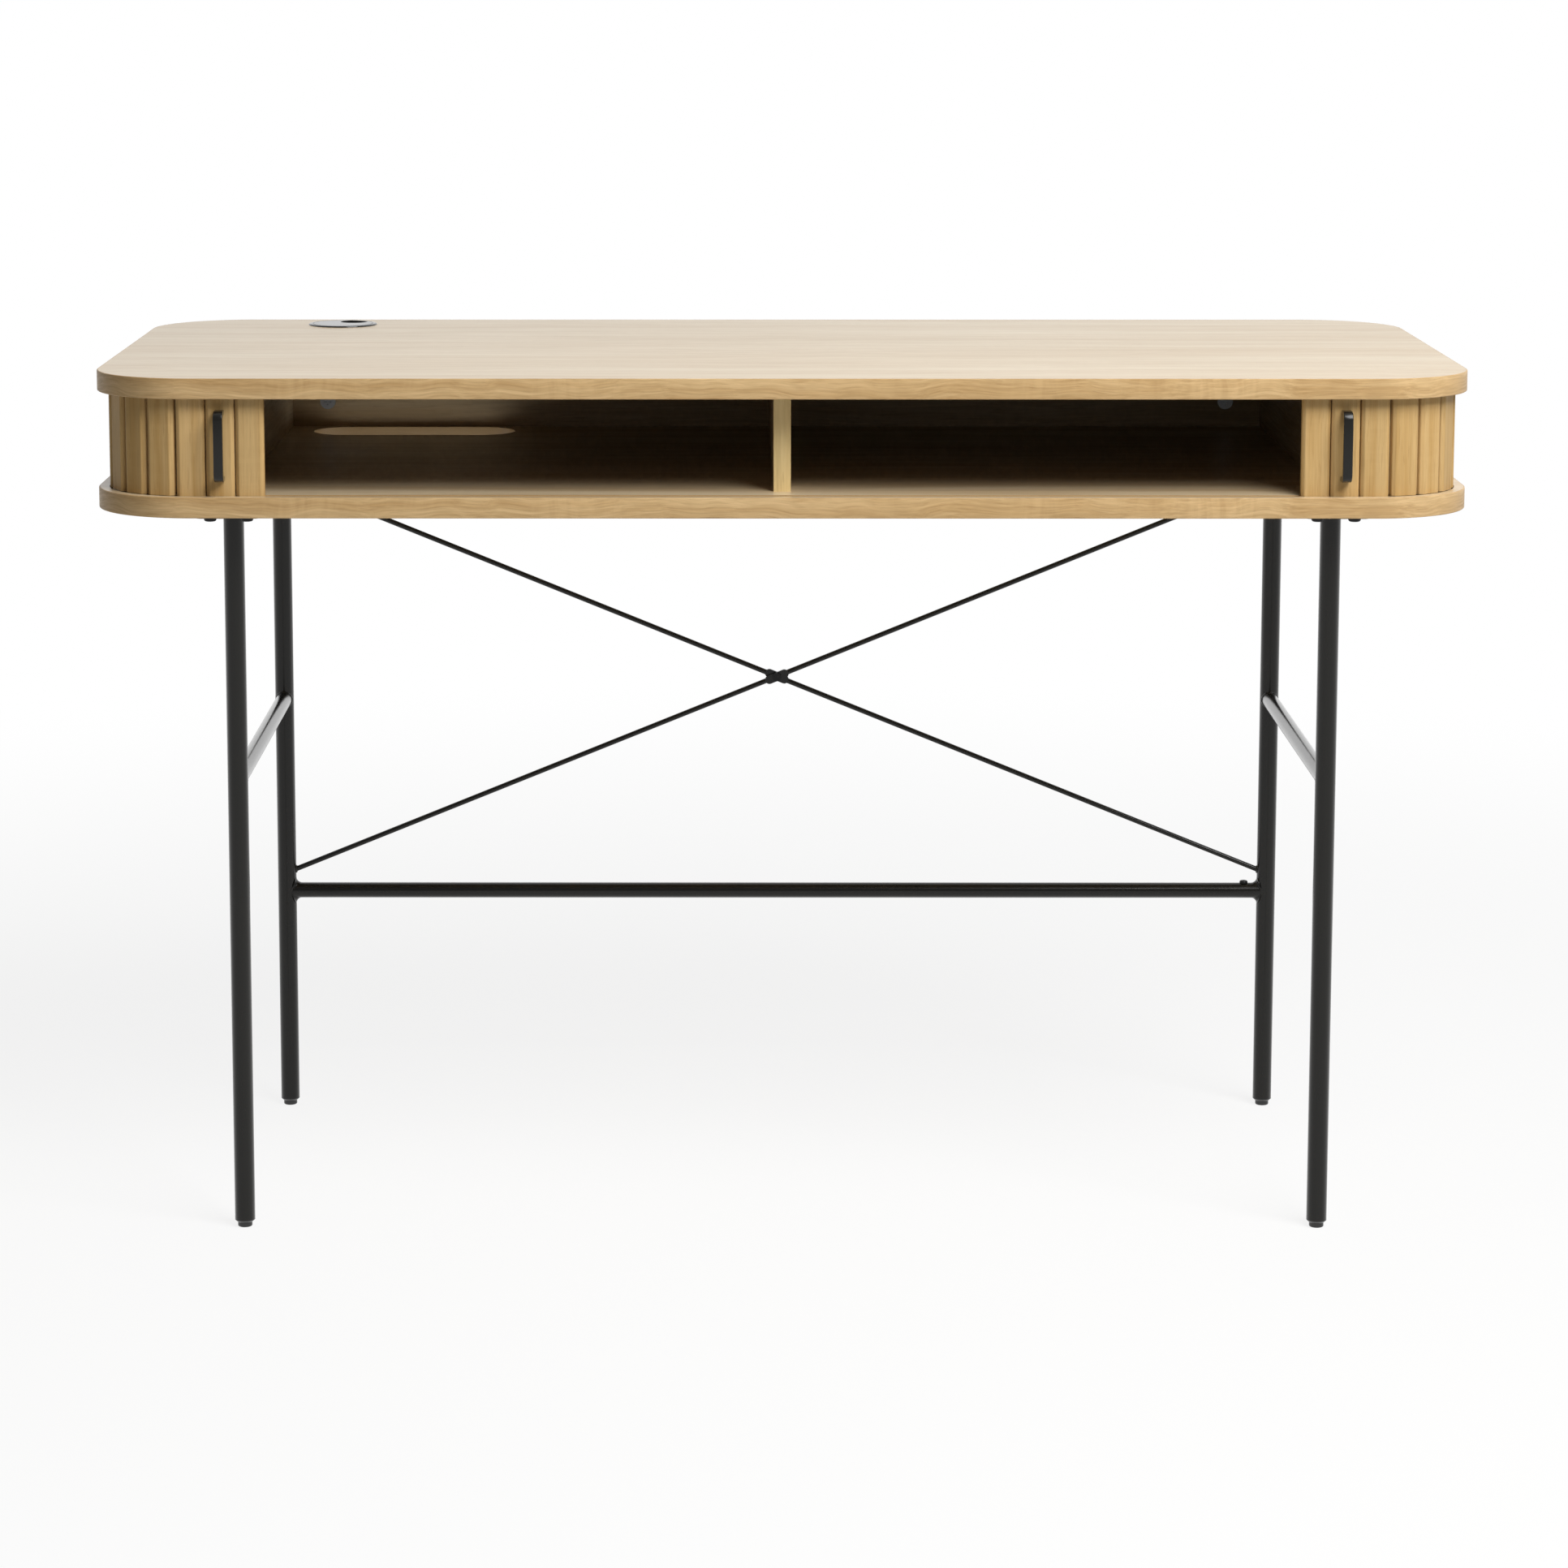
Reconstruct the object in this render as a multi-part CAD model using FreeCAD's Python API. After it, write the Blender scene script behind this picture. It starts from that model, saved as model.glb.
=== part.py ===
# Tambour desk: an oak cabinet whose two slatted curtains slide round its corners, on a black tube frame.
# Millimetres. +X is to the right, +Y to the back and +Z up.
# The origin is on the floor under the middle of the top.
import FreeCAD, Part
import math
import os
from FreeCAD import Vector

# Cabinet boards
top_width = 1200.0
top_depth = 550.0
desk_height = 765.0
corner_radius = 90.0
board = 18.0
shelf_height = 85.0
edge_band = 1.0
edge_round_share = 0.8
wall = 15.0
wall_end_inset = 21.0
wall_front_setback = 70.0
divider_front_setback = 42.0
back_setback = 3.0

# Knock-down fittings inside the boards
cam_radius = 7.5
cam_floor = 2.5
cam_height = 24.0
cam_cross = 7.0
cam_cross_width = 1.6
cam_cross_depth = 2.0
bolt_radius = 3.0
bolt_cover = 8.0
back_cam_inset = 70.0
wall_cam_shares = (0.14, 0.84)
dowel_radius = 4.0
dowel_cover = 7.0
dowel_reach = 15.0
back_dowel_share = 0.43
wall_dowel_shares = (0.34, 0.64)

# Curtains of slats on a cloth backing
curtain_inset = 10.0
slat_thickness = 7.0
slat_gap = 1.1
slat_bevel_width = 3.0
slat_bevel_depth = 2.6
cloth = 0.6
cloth_margin = 1.0
groove_depth = 5.0
groove_clearance = 0.8
groove_seat = 0.3
slat_end_clearance = 0.3
slat_module = 25.5
lead_slats = 3
corner_slats = 4
turn_slats = 1
rear_slats = 4
tail_room = 2.0

# Door handles
handle_end_margin = 11.6
handle_raise = 1.5
handle_projection = 15.5
handle_width = 8.2
handle_bar = 4.5
handle_corner = 8.0
handle_screw_radius = 1.25
handle_screw_head_radius = 2.4
handle_screw_head = 1.6
handle_screw_reach = 7.0

# Cable grommet in the top and cable slot in the base
grommet_side_inset = 179.0
grommet_back_inset = 53.0
grommet_hole_radius = 30.0
grommet_lip = 3.0
grommet_flange = 1.8
grommet_recess = 0.4
grommet_cover = 1.0
grommet_wall = 2.7
grommet_seat_width = 1.6
cap_skirt = 6.0
cap_skirt_wall = 1.5
cap_notch_radius = 13.0
cap_notch_reach = 18.0
cap_notch_degrees = 58.0
slot_side_inset = 150.5
slot_back_inset = 29.0
slot_length = 195.0
slot_width = 64.0

# Steel frame
leg_radius = 9.0
tube_wall = 1.5
leg_side_inset = 122.0
front_leg_setback = 48.0
rear_leg_setback = 100.5
plate_size = 56.0
plate_thickness = 3.0
plate_corner = 6.0
plate_offset = 2.5
plate_screw_spacing = 32.0
plate_screw_radius = 3.0
plate_screw_tip = 1.0
plate_screw_head_radius = 5.5
plate_screw_head = 3.8
plate_screw_head_bevel = 2.0
hex_key_radius = 2.0
hex_key_depth = 2.2
insert_radius = 4.5
insert_cover = 6.0
cross_tube_step = 1.5
stretcher_height_share = 0.629
rail_height_share = 0.334
stub_length = 23.0
stub_flare = 5.5
stub_floor = 3.0
rail_dowel_grip = 24.0
rail_screw_radius = 2.5
rail_screw_head_radius = 4.0
rail_screw_head = 2.4
rail_screw_share = 0.55
brace_radius = 2.5
brace_foot_rise = 21.0
brace_head_drop = 26.0
brace_pad_length = 24.0
brace_pad_width = 8.4
brace_pad = 2.5
brace_bolt_radius = 2.5
brace_bolt_head_radius = 4.2
brace_bolt_head = 2.2
brace_nut_radius = 4.6
brace_nut = 3.5

# Levelling feet
foot_pad_radius = 6.5
foot_pad_height = 4.5
foot_round = 1.2
foot_stem_radius = 4.0
foot_stem_length = 22.0
plug_flange = 2.5
plug_chamfer = 1.8
plug_length = 25.0

# Clearances
fit_clearance = 0.1
end_clearance = 0.5
overrun = 3.0

# Places worked out from the sizes above
half_width = top_width / 2
half_depth = top_depth / 2
top_under = desk_height - board
base_top = top_under - shelf_height
base_under = base_top - board
middle_height = (base_top + top_under) / 2
straight_x = half_width - corner_radius
straight_y = half_depth - corner_radius
edge_round = edge_band * edge_round_share
back_outer_y = half_depth - back_setback
back_inner_y = back_outer_y - wall
wall_front_y = -half_depth + wall_front_setback
divider_front_y = -half_depth + divider_front_setback
wall_outer_x = straight_x - wall_end_inset
wall_inner_x = wall_outer_x - wall
back_cam_x = straight_x - back_cam_inset
back_dowel_x = straight_x * back_dowel_share
cam_depth = wall - cam_floor
bolt_bite = board - bolt_cover
dowel_bite = board - dowel_cover
slat_pitch = straight_x / round(straight_x / slat_module)
pitch_radius = corner_radius - curtain_inset - slat_thickness - cloth / 2
corner_run = pitch_radius * math.pi / 2
side_run = 2 * straight_y
last_slat = lead_slats + int((2 * corner_run + side_run - tail_room) / slat_pitch - 1 / 2)
side_slats = last_slat - lead_slats - corner_slats - turn_slats - rear_slats
curtain_travel = straight_x - (lead_slats - 1 / 2) * slat_pitch
slat_face_y = -half_depth + curtain_inset
slat_back_y = slat_face_y + slat_thickness
handle_height = shelf_height - 2 * handle_end_margin
grommet_x = -half_width + grommet_side_inset
grommet_y = half_depth - grommet_back_inset
grommet_flange_radius = grommet_hole_radius + grommet_lip
grommet_seat = desk_height - grommet_recess
grommet_end = top_under + grommet_cover
slot_x = -half_width + slot_side_inset + slot_length / 2
slot_y = half_depth - slot_back_inset - slot_width / 2
leg_x = half_width - leg_side_inset
front_leg_y = -half_depth + front_leg_setback
rear_leg_y = half_depth - rear_leg_setback
leg_bore = leg_radius - tube_wall
cross_tube_radius = leg_radius - cross_tube_step
cross_tube_bore = cross_tube_radius - tube_wall
plate_under = base_under - plate_thickness
insert_length = board - insert_cover
stretcher_height = base_under * stretcher_height_share
rail_height = base_under * rail_height_share
brace_foot_height = rail_height + brace_foot_rise
brace_head_height = base_under - brace_head_drop
tube_foot = foot_pad_height + plug_flange
up = Vector(0, 0, 1)
right = Vector(1, 0, 0)
backwards = Vector(0, 1, 0)


def block(x_range, y_range, z_range):
    """A box between two places on each axis."""
    low = Vector(x_range[0], y_range[0], z_range[0])
    return Part.makeBox(x_range[1] - x_range[0], y_range[1] - y_range[0], z_range[1] - z_range[0], low)


def rod(radius, start, end):
    """A round bar from one point to another."""
    return Part.makeCylinder(radius, (end - start).Length, start, end - start)


def tube(radius, bore, start, end):
    """A round tube from one point to another."""
    along = (end - start).normalize() * overrun
    return rod(radius, start, end).cut(rod(bore, start - along, end + along))


def rounded_outline(centre, half_x, half_y, radius, height):
    """A level rectangle with round corners, as a face."""
    edges = []
    for turn in range(4):
        angle = turn * math.pi / 2
        sign_x = 1 if turn in (0, 3) else -1
        sign_y = 1 if turn in (0, 1) else -1
        hub = centre + Vector(sign_x * (half_x - radius), sign_y * (half_y - radius), height)
        turns = [angle + share * math.pi / 2 for share in (0, 1 / 2, 1)]
        points = [hub + Vector(math.cos(way), math.sin(way), 0) * radius for way in turns]
        edges.append(Part.Arc(*points).toShape())
    joined = []
    for turn, arc in enumerate(edges):
        following = edges[(turn + 1) % 4]
        joined.append(arc)
        gap = following.Vertexes[0].Point - arc.Vertexes[-1].Point
        if gap.Length > fit_clearance:
            joined.append(Part.LineSegment(arc.Vertexes[-1].Point, following.Vertexes[0].Point).toShape())
    return Part.Face(Part.Wire(joined))


def rounded_board(inset, z_range):
    """The desk's plan, drawn in by an inset, between two heights."""
    radius = corner_radius - inset
    face = rounded_outline(Vector(), half_width - inset, half_depth - inset, radius, z_range[0])
    return face.extrude(up * (z_range[1] - z_range[0]))


def mirrored(shape):
    """The same shape on the other side of the desk."""
    return shape.mirror(Vector(), right)


def group(solids):
    """Separate solids kept together as one sub-part."""
    return Part.makeCompound(list(solids))


# Cabinet boards

def groove(z_range):
    """The curtain groove: round the front and both sides, ending where the back panel starts."""
    outer = rounded_board(curtain_inset - groove_clearance, z_range)
    inner = rounded_board(curtain_inset + slat_thickness + groove_clearance, z_range)
    behind = block((-straight_x, straight_x), (0, half_depth), z_range)
    return outer.cut([inner, behind])


def slot_cutter():
    """The long round-ended cable slot in the base."""
    face = rounded_outline(Vector(slot_x, slot_y, 0), slot_length / 2, slot_width / 2,
                           slot_width / 2, base_under - overrun)
    return face.extrude(up * (board + 2 * overrun))


def cam_places():
    """Where each cam lock sits in plan, and the way its face looks."""
    wall_length = back_inner_y - wall_front_y
    places = [(Vector(side * back_cam_x, back_inner_y, 0), -backwards) for side in (-1, 1)]
    for share in wall_cam_shares:
        for side in (-1, 1):
            along = wall_front_y + share * wall_length
            places.append((Vector(side * wall_outer_x, along, 0), right * side))
    return places


def cam_levels():
    """For the cams' two heights: the face that the bolt crosses, the way to it, and the height."""
    return ((base_top, -up, base_top + cam_height), (top_under, up, top_under - cam_height))


def cam_axis(face_point, looks, bolt_line):
    """The point under the middle of a cam's bolt, on the board's centre line."""
    return Vector(face_point.x, face_point.y, bolt_line) - looks * (wall / 2)


def cam_solids(clearance):
    """Every cam lock as a plain drum, with room round it."""
    drums = []
    for face_point, looks in cam_places():
        for _, _, height in cam_levels():
            mouth = Vector(face_point.x, face_point.y, height)
            lift = looks * (overrun if clearance else 0)
            floor = mouth - looks * (cam_depth + clearance)
            drums.append(rod(cam_radius + clearance, floor, mouth + lift))
    return drums


def bolt_solids(clearance):
    """Every cam bolt, from its bite in the base or top to the middle of its cam, with room round it."""
    bolts = []
    for face_point, looks in cam_places():
        for edge, towards, height in cam_levels():
            foot = cam_axis(face_point, looks, edge) + towards * (bolt_bite + clearance)
            head = cam_axis(face_point, looks, height) - towards * clearance
            bolts.append(rod(bolt_radius + clearance, foot, head))
    return bolts


def dowel_places():
    """Plan positions of the dowels in the walls, the divider and the back panel."""
    wall_length = back_inner_y - wall_front_y
    places = [Vector(side * back_dowel_x, back_inner_y + wall / 2, 0) for side in (-1, 1)]
    for share in wall_dowel_shares:
        along = wall_front_y + share * wall_length
        places += [Vector(side * (wall_inner_x + wall / 2), along, 0) for side in (-1, 1)]
    for share in wall_cam_shares:
        places.append(Vector(0, divider_front_y + share * (back_inner_y - divider_front_y), 0))
    return places


def dowel_solids(clearance):
    """Every dowel, half in an upright board and half in the base or top, with room round it."""
    dowels = []
    for place in dowel_places():
        for edge, towards, _ in cam_levels():
            foot = place + up * edge + towards * (dowel_bite + clearance)
            head = place + up * edge - towards * (dowel_reach + clearance)
            dowels.append(rod(dowel_radius + clearance, foot, head))
    return dowels


def fitting_cutters():
    """Bores for all bolts, cams and dowels."""
    return cam_solids(fit_clearance) + bolt_solids(fit_clearance) + dowel_solids(fit_clearance)


def near(cutters, board_solid):
    """The cutters that reach into a board."""
    return [tool for tool in cutters if tool.BoundBox.intersect(board_solid.BoundBox)]


def make_desk_top():
    solid = rounded_board(edge_band, (top_under, desk_height))
    bore = grommet_disc(grommet_hole_radius, top_under - overrun, desk_height + overrun)
    recess = grommet_disc(grommet_flange_radius + fit_clearance, grommet_seat, desk_height + overrun)
    cutters = [groove((top_under - overrun, top_under + groove_depth)), bore, recess]
    return solid.cut(cutters + near(fitting_cutters(), solid))


def make_base_panel():
    solid = rounded_board(edge_band, (base_under, base_top))
    mouth = up * (base_under - overrun)
    floor = up * (base_under + insert_length + end_clearance)
    inserts = [rod(insert_radius + fit_clearance, place + mouth, place + floor)
               for place in plate_screw_places()]
    cutters = [groove((base_top - groove_depth, base_top + overrun)), slot_cutter()] + inserts
    return solid.cut(cutters + near(fitting_cutters(), solid))


def make_edge_band(z_range):
    """The veneer band glued round a board's edge, with its outer corners softened."""
    core = rounded_board(edge_band, (z_range[0] - overrun, z_range[1] + overrun))
    solid = rounded_board(0, z_range).cut(core)
    outer = [edge for edge in solid.Edges if lies_on_rim(edge, z_range)]
    return solid.makeFillet(edge_round, outer)


def lies_on_rim(edge, z_range):
    """True for the top and bottom edges of a band's outer face."""
    box = edge.BoundBox
    level = box.ZLength < fit_clearance and min(abs(box.ZMin - z) for z in z_range) < fit_clearance
    middle = edge.valueAt((edge.FirstParameter + edge.LastParameter) / 2)
    reach_x = max(abs(middle.x) - straight_x, 0)
    reach_y = max(abs(middle.y) - straight_y, 0)
    return level and math.hypot(reach_x, reach_y) > corner_radius - edge_band / 2


def make_back_panel():
    solid = block((-straight_x, straight_x), (back_inner_y, back_outer_y), (base_top, top_under))
    return solid.cut(near(fitting_cutters(), solid))


def make_left_inner_wall():
    solid = block((-wall_outer_x, -wall_inner_x), (wall_front_y, back_inner_y), (base_top, top_under))
    return solid.cut(near(fitting_cutters(), solid))


def make_centre_divider():
    solid = block((-wall / 2, wall / 2), (divider_front_y, back_inner_y), (base_top, top_under))
    return solid.cut(near(fitting_cutters(), solid))


def make_cam_locks():
    """Cam drums with a bore for the bolt's head and a cross for the screwdriver."""
    locks = []
    drums = cam_solids(0)
    bolts = bolt_solids(fit_clearance)
    faces = [(Vector(point.x, point.y, height), looks) for point, looks in cam_places()
             for _, _, height in cam_levels()]
    for drum, bolt, (mouth, looks) in zip(drums, bolts, faces):
        level = looks.cross(up)
        floor = mouth - looks * cam_cross_depth
        cross = []
        for long_way, short_way in ((level, up), (up, level)):
            corner = floor - long_way * (cam_cross / 2) - short_way * (cam_cross_width / 2)
            sides = [long_way * cam_cross, short_way * cam_cross_width]
            outline = [corner, corner + sides[0], corner + sides[0] + sides[1], corner + sides[1], corner]
            cross.append(Part.Face(Part.makePolygon(outline)).extrude(looks * (cam_cross_depth + overrun)))
        locks.append(drum.cut([bolt] + cross))
    return group(locks)


# Curtains: all are drawn for the left door, and the right door mirrors them

def curtain_place(run):
    """Point on the cloth line and its outward direction, at a distance behind the front corner's start."""
    if run <= 0:
        return Vector(-straight_x - run, -straight_y - pitch_radius, 0), Vector(0, -1, 0)
    if run <= corner_run:
        hub, angle = Vector(-straight_x, -straight_y, 0), -math.pi / 2 - run / pitch_radius
    elif run <= corner_run + side_run:
        return Vector(-straight_x - pitch_radius, -straight_y + run - corner_run, 0), Vector(-1, 0, 0)
    else:
        hub = Vector(-straight_x, straight_y, 0)
        angle = -math.pi - (run - corner_run - side_run) / pitch_radius
    outward = Vector(math.cos(angle), math.sin(angle), 0)
    return hub + outward * pitch_radius, outward


def slat_run(number):
    """Distance of a slat's middle behind the front corner's start, the leading slat being number 1."""
    return (number - lead_slats) * slat_pitch


def curtain_face(run, profile, height):
    """A closed outline about a point of the curtain, given by distances outward and along, at a height."""
    place, outward = curtain_place(run)
    along = Vector(outward.y, -outward.x, 0)
    points = [place + outward * out + along * way + up * height for out, way in profile]
    return Part.Face(Part.makePolygon(points + points[:1]))


def slat(number, z_range):
    """One slat with bevelled front edges."""
    half = (slat_pitch - slat_gap) / 2
    back = cloth / 2
    front = back + slat_thickness
    shoulder = front - slat_bevel_depth
    land = half - slat_bevel_width
    profile = [(back, -half), (shoulder, -half), (front, -land),
               (front, land), (shoulder, half), (back, half)]
    return curtain_face(slat_run(number), profile, z_range[0]).extrude(up * (z_range[1] - z_range[0]))


def guided_heights():
    """Heights of a slat whose ends run in the grooves."""
    reach = groove_depth - groove_seat
    return base_top - reach, top_under + reach


def trimmed_heights():
    """Heights of a slat that ends at the faces of the boards."""
    return base_top + slat_end_clearance, top_under - slat_end_clearance


def make_front_slats():
    """The leading slats, in the front grooves, with the handle's screw holes in the second one."""
    slats = [slat(number, guided_heights()) for number in range(1, lead_slats + 1)]
    return group([piece.cut(near(handle_screws(fit_clearance), piece)) for piece in slats])


def make_corner_slat(order):
    return slat(lead_slats + order, trimmed_heights())


def slat_numbers(before, count):
    """The numbers of a group of slats that follows a number of others."""
    return range(before + 1, before + count + 1)


def make_side_slats():
    numbers = slat_numbers(lead_slats + corner_slats, side_slats)
    return group(slat(number, trimmed_heights()) for number in numbers)


def make_turn_slat():
    return slat(lead_slats + corner_slats + side_slats + turn_slats, trimmed_heights())


def make_rear_slats():
    numbers = slat_numbers(lead_slats + corner_slats + side_slats + turn_slats, rear_slats)
    return group(slat(number, trimmed_heights()) for number in numbers)


def cloth_sheet(start, end):
    """The cloth glued on the backs of a straight row of slats, between two distances along the curtain."""
    half = (end - start) / 2
    profile = [(-cloth / 2, -half), (cloth / 2, -half), (cloth / 2, half), (-cloth / 2, half)]
    low, high = trimmed_heights()
    sheet = curtain_face((start + end) / 2, profile, low + cloth_margin)
    return sheet.extrude(up * (high - low - 2 * cloth_margin))


def make_front_cloth():
    """The cloth behind the leading slats, with holes for the handle's screw heads."""
    inside = slat_pitch / 2 - slat_gap / 2 - cloth_margin
    sheet = cloth_sheet(slat_run(1) - inside, slat_run(lead_slats) + inside)
    through = backwards * overrun
    holes = [rod(handle_screw_head_radius + fit_clearance, point - through, point + through)
             for point in handle_screw_points()]
    return sheet.cut(holes)


def make_side_cloth():
    """The cloth behind the side slats, as far as they stand in a straight row."""
    numbers = slat_numbers(lead_slats + corner_slats, side_slats)
    inside = slat_pitch / 2 - slat_gap / 2 - cloth_margin
    start = max(slat_run(numbers[0]) - inside, corner_run)
    end = min(slat_run(numbers[-1]) + inside, corner_run + side_run)
    return cloth_sheet(start, end)


def handle_centre():
    """Just above the middle of the second slat's front face."""
    place, outward = curtain_place(slat_run(2))
    return place + outward * (cloth / 2 + slat_thickness) + up * (middle_height + handle_raise)


def handle_screw_points():
    """Where the handle's screws leave the back of the slat."""
    offset = (handle_height - handle_bar) / 2
    back = handle_centre() + backwards * slat_thickness
    return [back + up * offset, back - up * offset]


def handle_screws(clearance):
    """Screws through the slat into the handle's two legs, with their heads sunk in the slat's back."""
    screws = []
    for point in handle_screw_points():
        tip = point - backwards * (slat_thickness + handle_screw_reach + clearance)
        neck = point - backwards * (handle_screw_head + clearance)
        shank = rod(handle_screw_radius + clearance, point, tip)
        head = rod(handle_screw_head_radius + clearance, point + backwards * clearance, neck)
        screws.append(shank.fuse(head).removeSplitter())
    return screws


def make_handle():
    """A flat bar bent to a bracket, standing on the slat."""
    centre = handle_centre()
    turn = 1 - math.sqrt(1 / 2)

    def corner(out, height):
        return centre + Vector(-handle_width / 2, -out, height)

    def side(inset, radius):
        high = handle_height / 2 - inset
        out = handle_projection - inset
        knee = radius * turn
        return [Part.LineSegment(corner(0, high), corner(out - radius, high)).toShape(),
                Part.Arc(corner(out - radius, high), corner(out - knee, high - knee),
                         corner(out, high - radius)).toShape(),
                Part.LineSegment(corner(out, high - radius), corner(out, radius - high)).toShape(),
                Part.Arc(corner(out, radius - high), corner(out - knee, knee - high),
                         corner(out - radius, -high)).toShape(),
                Part.LineSegment(corner(out - radius, -high), corner(0, -high)).toShape()]

    outer = side(0, handle_corner)
    inner = side(handle_bar, handle_corner - handle_bar)
    half = handle_height / 2
    ends = [Part.LineSegment(corner(0, sign * half), corner(0, sign * (half - handle_bar))).toShape()
            for sign in (1, -1)]
    outline = Part.Wire(Part.__sortEdges__(outer + inner + ends))
    return Part.Face(outline).extrude(right * handle_width).cut(handle_screws(fit_clearance))


# Cable grommet

def grommet_disc(radius, low, high):
    """A round plug about the grommet's centre line, between two heights."""
    return rod(radius, Vector(grommet_x, grommet_y, low), Vector(grommet_x, grommet_y, high))


def grommet_bore_radius():
    return grommet_hole_radius - fit_clearance - grommet_wall


def make_grommet_ring():
    """A flanged sleeve with a step that the cap sits on."""
    flange = grommet_disc(grommet_flange_radius, grommet_seat, grommet_seat + grommet_flange)
    sleeve = grommet_disc(grommet_hole_radius - fit_clearance, grommet_end, grommet_seat)
    bore = grommet_disc(grommet_bore_radius(), grommet_end - overrun, grommet_seat + overrun)
    seat = grommet_disc(grommet_bore_radius() + grommet_seat_width, grommet_seat, grommet_seat + overrun)
    return sleeve.fuse(flange).removeSplitter().cut([bore, seat])


def make_grommet_cap():
    """A turning lid with a short skirt and a round notch for cables."""
    clearance = fit_clearance * 3
    lid = grommet_disc(grommet_bore_radius() + grommet_seat_width - clearance, grommet_seat,
                       grommet_seat + grommet_flange)
    skirt_radius = grommet_bore_radius() - clearance
    skirt = grommet_disc(skirt_radius, grommet_seat - cap_skirt, grommet_seat)
    hollow = grommet_disc(skirt_radius - cap_skirt_wall, grommet_seat - cap_skirt - overrun, grommet_seat)
    angle = math.radians(cap_notch_degrees)
    reach = Vector(math.cos(angle), math.sin(angle), 0) * cap_notch_reach
    notch = grommet_disc(cap_notch_radius, grommet_seat - cap_skirt - overrun, desk_height + overrun)
    notch.translate(reach)
    return lid.fuse(skirt).removeSplitter().cut([hollow, notch])


# Steel frame

def leg_places():
    """Plan position of each leg."""
    return {"front_left": Vector(-leg_x, front_leg_y, 0), "front_right": Vector(leg_x, front_leg_y, 0),
            "rear_left": Vector(-leg_x, rear_leg_y, 0), "rear_right": Vector(leg_x, rear_leg_y, 0)}


def plate_centres():
    """Plan position of each leg's plate, set a little outwards of the leg."""
    return [place + right * math.copysign(plate_offset, place.x) for place in leg_places().values()]


def plate_screw_places():
    half = plate_screw_spacing / 2
    corners = [Vector(x * half, y * half, 0) for x in (-1, 1) for y in (-1, 1)]
    return [centre + corner for centre in plate_centres() for corner in corners]


def leg_body(place):
    """The outside of a leg's tube."""
    return rod(leg_radius, place + up * tube_foot, place + up * plate_under)


def make_leg(place):
    """A leg tube, with slanted holes for the brace rods in a rear one."""
    leg = tube(leg_radius, leg_bore, place + up * tube_foot, place + up * plate_under)
    if place.y == rear_leg_y:
        leg = leg.cut([brace_line(rising, brace_radius + fit_clearance) for rising in (True, False)])
    return leg


def make_leg_plates():
    """Square plates with round corners, welded on the legs and drilled for the screws."""
    half = plate_size / 2
    holes = [rod(plate_screw_radius + fit_clearance, place + up * (plate_under - overrun),
                 place + up * (base_under + overrun)) for place in plate_screw_places()]
    plates = [rounded_outline(centre, half, half, plate_corner, plate_under).extrude(up * plate_thickness)
              for centre in plate_centres()]
    return group(plate.cut(near(holes, plate)) for plate in plates)


def make_plate_screws():
    """Round-headed screws with a hexagon socket."""
    screws = []
    for place in plate_screw_places():
        seat = place + up * plate_under
        shank = rod(plate_screw_radius, seat, place + up * (base_under + insert_length - plate_screw_tip))
        rim = seat - up * (plate_screw_head - plate_screw_head_bevel)
        drum = rod(plate_screw_head_radius, rim, seat)
        dome = Part.makeCone(plate_screw_head_radius, plate_screw_head_radius - plate_screw_head_bevel,
                             plate_screw_head_bevel, rim, -up)
        face = seat - up * plate_screw_head
        socket = hexagon(face - up * overrun, hex_key_radius, hex_key_depth + overrun, up)
        screws.append(shank.fuse([drum, dome]).removeSplitter().cut(socket))
    return group(screws)


def hexagon(foot, radius, height, way):
    """A six-sided bar that stands on a foot, with two corners along the desk."""
    across = way.cross(right)
    turns = [turn * math.pi / 3 for turn in range(7)]
    points = [foot + right * (math.cos(turn) * radius) + across * (math.sin(turn) * radius) for turn in turns]
    return Part.Face(Part.makePolygon(points)).extrude(way * height)


def make_plate_inserts():
    """Threaded inserts in the underside of the base."""
    return group(tube(insert_radius, plate_screw_radius + fit_clearance, place + up * base_under,
                      place + up * (base_under + insert_length)) for place in plate_screw_places())


def make_stretcher(side):
    """The tube between a front and a rear leg, shaped at its ends to fit round them."""
    start = Vector(side * leg_x, front_leg_y, stretcher_height)
    end = Vector(side * leg_x, rear_leg_y, stretcher_height)
    legs = [leg_body(place) for place in leg_places().values() if place.x == side * leg_x]
    return tube(cross_tube_radius, cross_tube_bore, start, end).cut(legs)


def rail_point(side, distance):
    """A point on the rear rail's centre line, at a distance inwards of a leg's centre line."""
    return Vector(side * (leg_x - distance), rear_leg_y, rail_height)


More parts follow.
